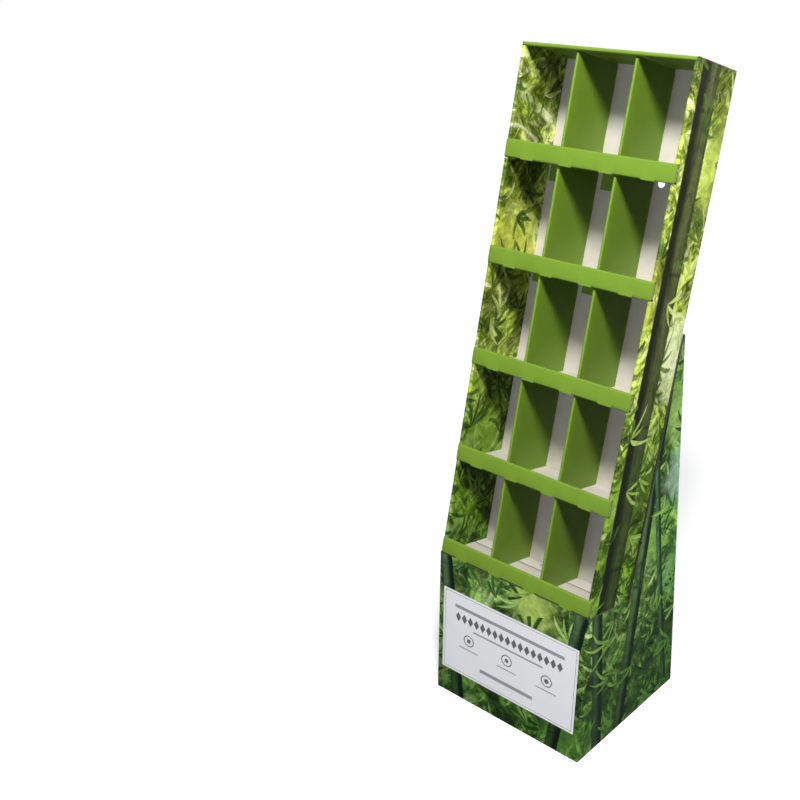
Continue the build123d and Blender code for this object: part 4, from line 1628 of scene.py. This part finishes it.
@dataclass(frozen=True)
class Lamp:
    """A round soft lamp that is aimed at the tower. Metres and watts."""

    name: str
    place: Triple
    size: float
    power: float
    tint: str = "#FFFFFF"
    aim: Triple = (0.0, -0.1, 0.8)

    def hang(self) -> None:
        """Hangs the lamp."""
        data = bpy.data.lights.new(self.name, "AREA")
        data.shape = "DISK"
        data.size = self.size
        data.energy = self.power
        data.color = colour(self.tint)[:3]
        lamp = bpy.data.objects.new(self.name, data)
        lamp.location = self.place
        way = Vector(self.aim) - lamp.location
        lamp.rotation_euler = way.to_track_quat("-Z", "Y").to_euler()
        bpy.context.scene.collection.objects.link(lamp)


@dataclass
class Studio:
    """The photograph's camera, a soft lamp high at the front right with two weaker ones, and a pale floor."""

    place: Triple = (1.198415, -1.882450, 1.684130)
    azimuth: float = 42.155917
    elevation: float = 23.310735
    roll: float = 0.253932
    lens: float = 50.181
    sensor: float = 36.0
    sight: float = 100.0  # how far the camera sees
    lamps: tuple[Lamp, ...] = (
        Lamp("soft lamp", (0.95, -1.5, 3.3), 0.55, 130.0),
        Lamp("front lamp", (0.25, -3.2, 1.3), 1.6, 23.0, "#EEF1FF"),
        Lamp("side lamp", (2.9, 0.7, 1.2), 1.4, 42.0),
    )
    fill: float = 0.05
    floor_radius: float = 12.0
    floor_points: int = 64
    floor_drop: float = 0.0005
    glow: tuple[float, float, float, float] = (0.4, 3.0, 0.35, 1.0)  # near, far, and how strong at each

    def camera(self) -> None:
        """Stands the camera where the photograph was taken."""
        turn, rise, roll = (math.radians(angle) for angle in (self.azimuth, self.elevation, self.roll))
        ahead = Vector((-math.sin(turn) * math.cos(rise), math.cos(turn) * math.cos(rise), -math.sin(rise)))
        level = ahead.cross(Vector((0, 0, 1))).normalized()
        upright = level.cross(ahead)
        right = level * math.cos(roll) + upright * math.sin(roll)
        above = upright * math.cos(roll) - level * math.sin(roll)
        data = bpy.data.cameras.new("camera")
        data.lens = self.lens
        data.sensor_width = self.sensor
        data.clip_end = self.sight
        camera = bpy.data.objects.new("camera", data)
        camera.matrix_world = Matrix((right, above, -ahead)).transposed().to_4x4()
        camera.location = self.place
        bpy.context.scene.collection.objects.link(camera)
        bpy.context.scene.camera = camera

    def world(self) -> None:
        """White to the camera, a plain fill light to everything else."""
        world = bpy.data.worlds.new("studio")
        world.use_nodes = True
        tree = world.node_tree
        tree.nodes.clear()
        path = add(tree, "ShaderNodeLightPath").outputs
        seen = add(tree, Op.GREATEST, path["Is Camera Ray"], path["Is Glossy Ray"])
        seen = add(tree, Op.GREATEST, seen, path["Is Transmission Ray"])
        fill = add(tree, "ShaderNodeBackground", "#E4EAFF", self.fill)
        plain = add(tree, "ShaderNodeBackground", "#FFFFFF", 1.0)
        add(tree, "ShaderNodeOutputWorld", add(tree, "ShaderNodeMixShader", seen, fill, plain))
        bpy.context.scene.world = world

    def floor(self) -> None:
        """Lays a wide pale floor, a little dusty, white to the camera where no shadow falls."""
        mesh = bpy.data.meshes.new("studio_floor")
        edge = circle((0.0, 0.0), self.floor_radius, self.floor_points)
        ring = [(*place, -self.floor_drop) for place in edge]
        mesh.from_pydata(ring, [], [tuple(range(len(ring)))])
        floor = bpy.data.objects.new("studio_floor", mesh)
        bpy.context.scene.collection.objects.link(floor)
        material, tree, where = new_material("matt studio floor", "Object")
        seen = add(tree, "ShaderNodeLightPath").outputs["Is Camera Ray"]
        paint = add(tree, Op.MIX, add(tree, Op.NOISE, where, Scale=3.0, Detail=3.0), "#F4F4F4", "#FAFAFA")
        diffuse = add(tree, "ShaderNodeBsdfDiffuse", add(tree, Op.MIX, seen, "#8C8C8C", paint))
        reach = add(tree, Op.RANGE, add(tree, Op.LENGTH, where), *self.glow)
        glow = add(tree, "ShaderNodeEmission", "#FFFFFF", add(tree, Op.TIMES, seen, reach))
        add(tree, "ShaderNodeOutputMaterial", add(tree, "ShaderNodeAddShader", diffuse, glow))
        mesh.materials.append(material)

    def build(self) -> None:
        """Sets up the whole studio."""
        bpy.context.scene.view_settings.view_transform = "Standard"
        self.camera()
        for lamp in self.lamps:
            lamp.hang()
        self.world()
        self.floor()


class Stand:
    """The whole stand: builds each sheet, dresses it and puts it in its node's place."""

    def __init__(self) -> None:
        """Makes the finishes and the medium's node tree that all sheets share."""
        self.finishes = Finishes()
        self.fluting = Fluting()
        self.medium_tree = self.fluting.tree()

    def dress(self, sheet: Sheet, node: str, faces: tuple[Material, ...]) -> None:
        """Builds a sheet, gives it its materials and lets it stand for its node.

        Args:
            sheet: The flat sheet and its folds.
            node: The node that it replaces.
            faces: Materials of its printed side, plain side, cut edge, the painted shade inside the cut edge,
                and wavy medium.
        """
        piece = sheet.build()
        *faces, medium = faces
        for material in faces:
            piece.data.materials.append(material)
        self.fluting.grow(piece, self.medium_tree, medium)
        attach(piece, "root")
        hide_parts(node)
        log.info("%s: %d faces", piece.name, len(piece.data.polygons))

    def build(self) -> None:
        """Builds every piece from the floor upwards."""
        f = self.finishes
        raw, green_raw = (f.cut, f.flute_shade, f.medium), (f.green_cut, f.flute_shade, f.green_medium)
        self.dress(Plinth().sheet(), "plinth_sleeve", (f.plinth, f.white, *raw))
        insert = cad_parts["plinth_insert"]
        insert.data.materials.clear()
        insert.data.materials.append(f.kraft)
        log.info("plinth_insert: kraft board")
        self.dress(Label().sheet(), "front_label", (f.label, *[f.label_cut] * 4))
        self.dress(Tower().sheet(), "tower_shell", (f.tower, f.white, *raw))
        # Painted shade: the cap's plain underside takes the green ink as well, chosen so that it stays dark
        # in the shade under the cap.
        self.dress(Cap().sheet(), "top_cap", (f.green_wide, f.green_wide, *green_raw))
        for row in range(ROWS):
            faces = (f.green_wide, f.white_wide, *green_raw)
            self.dress(Shelf(row).sheet(), f"shelf_{row + 1}", faces)
            for side in DIVIDER_PLACES:
                node = f"divider_{row + 1}_{side}"
                self.dress(Divider(row, side).sheet(), node, (f.green, f.white, *green_raw))


def main() -> None:
    """Builds the studio and the stand."""
    logging.basicConfig(level=logging.INFO, format="%(message)s")
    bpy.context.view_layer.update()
    Studio().build()
    Stand().build()
    bpy.context.view_layer.update()


if __name__ == "__main__":
    main()
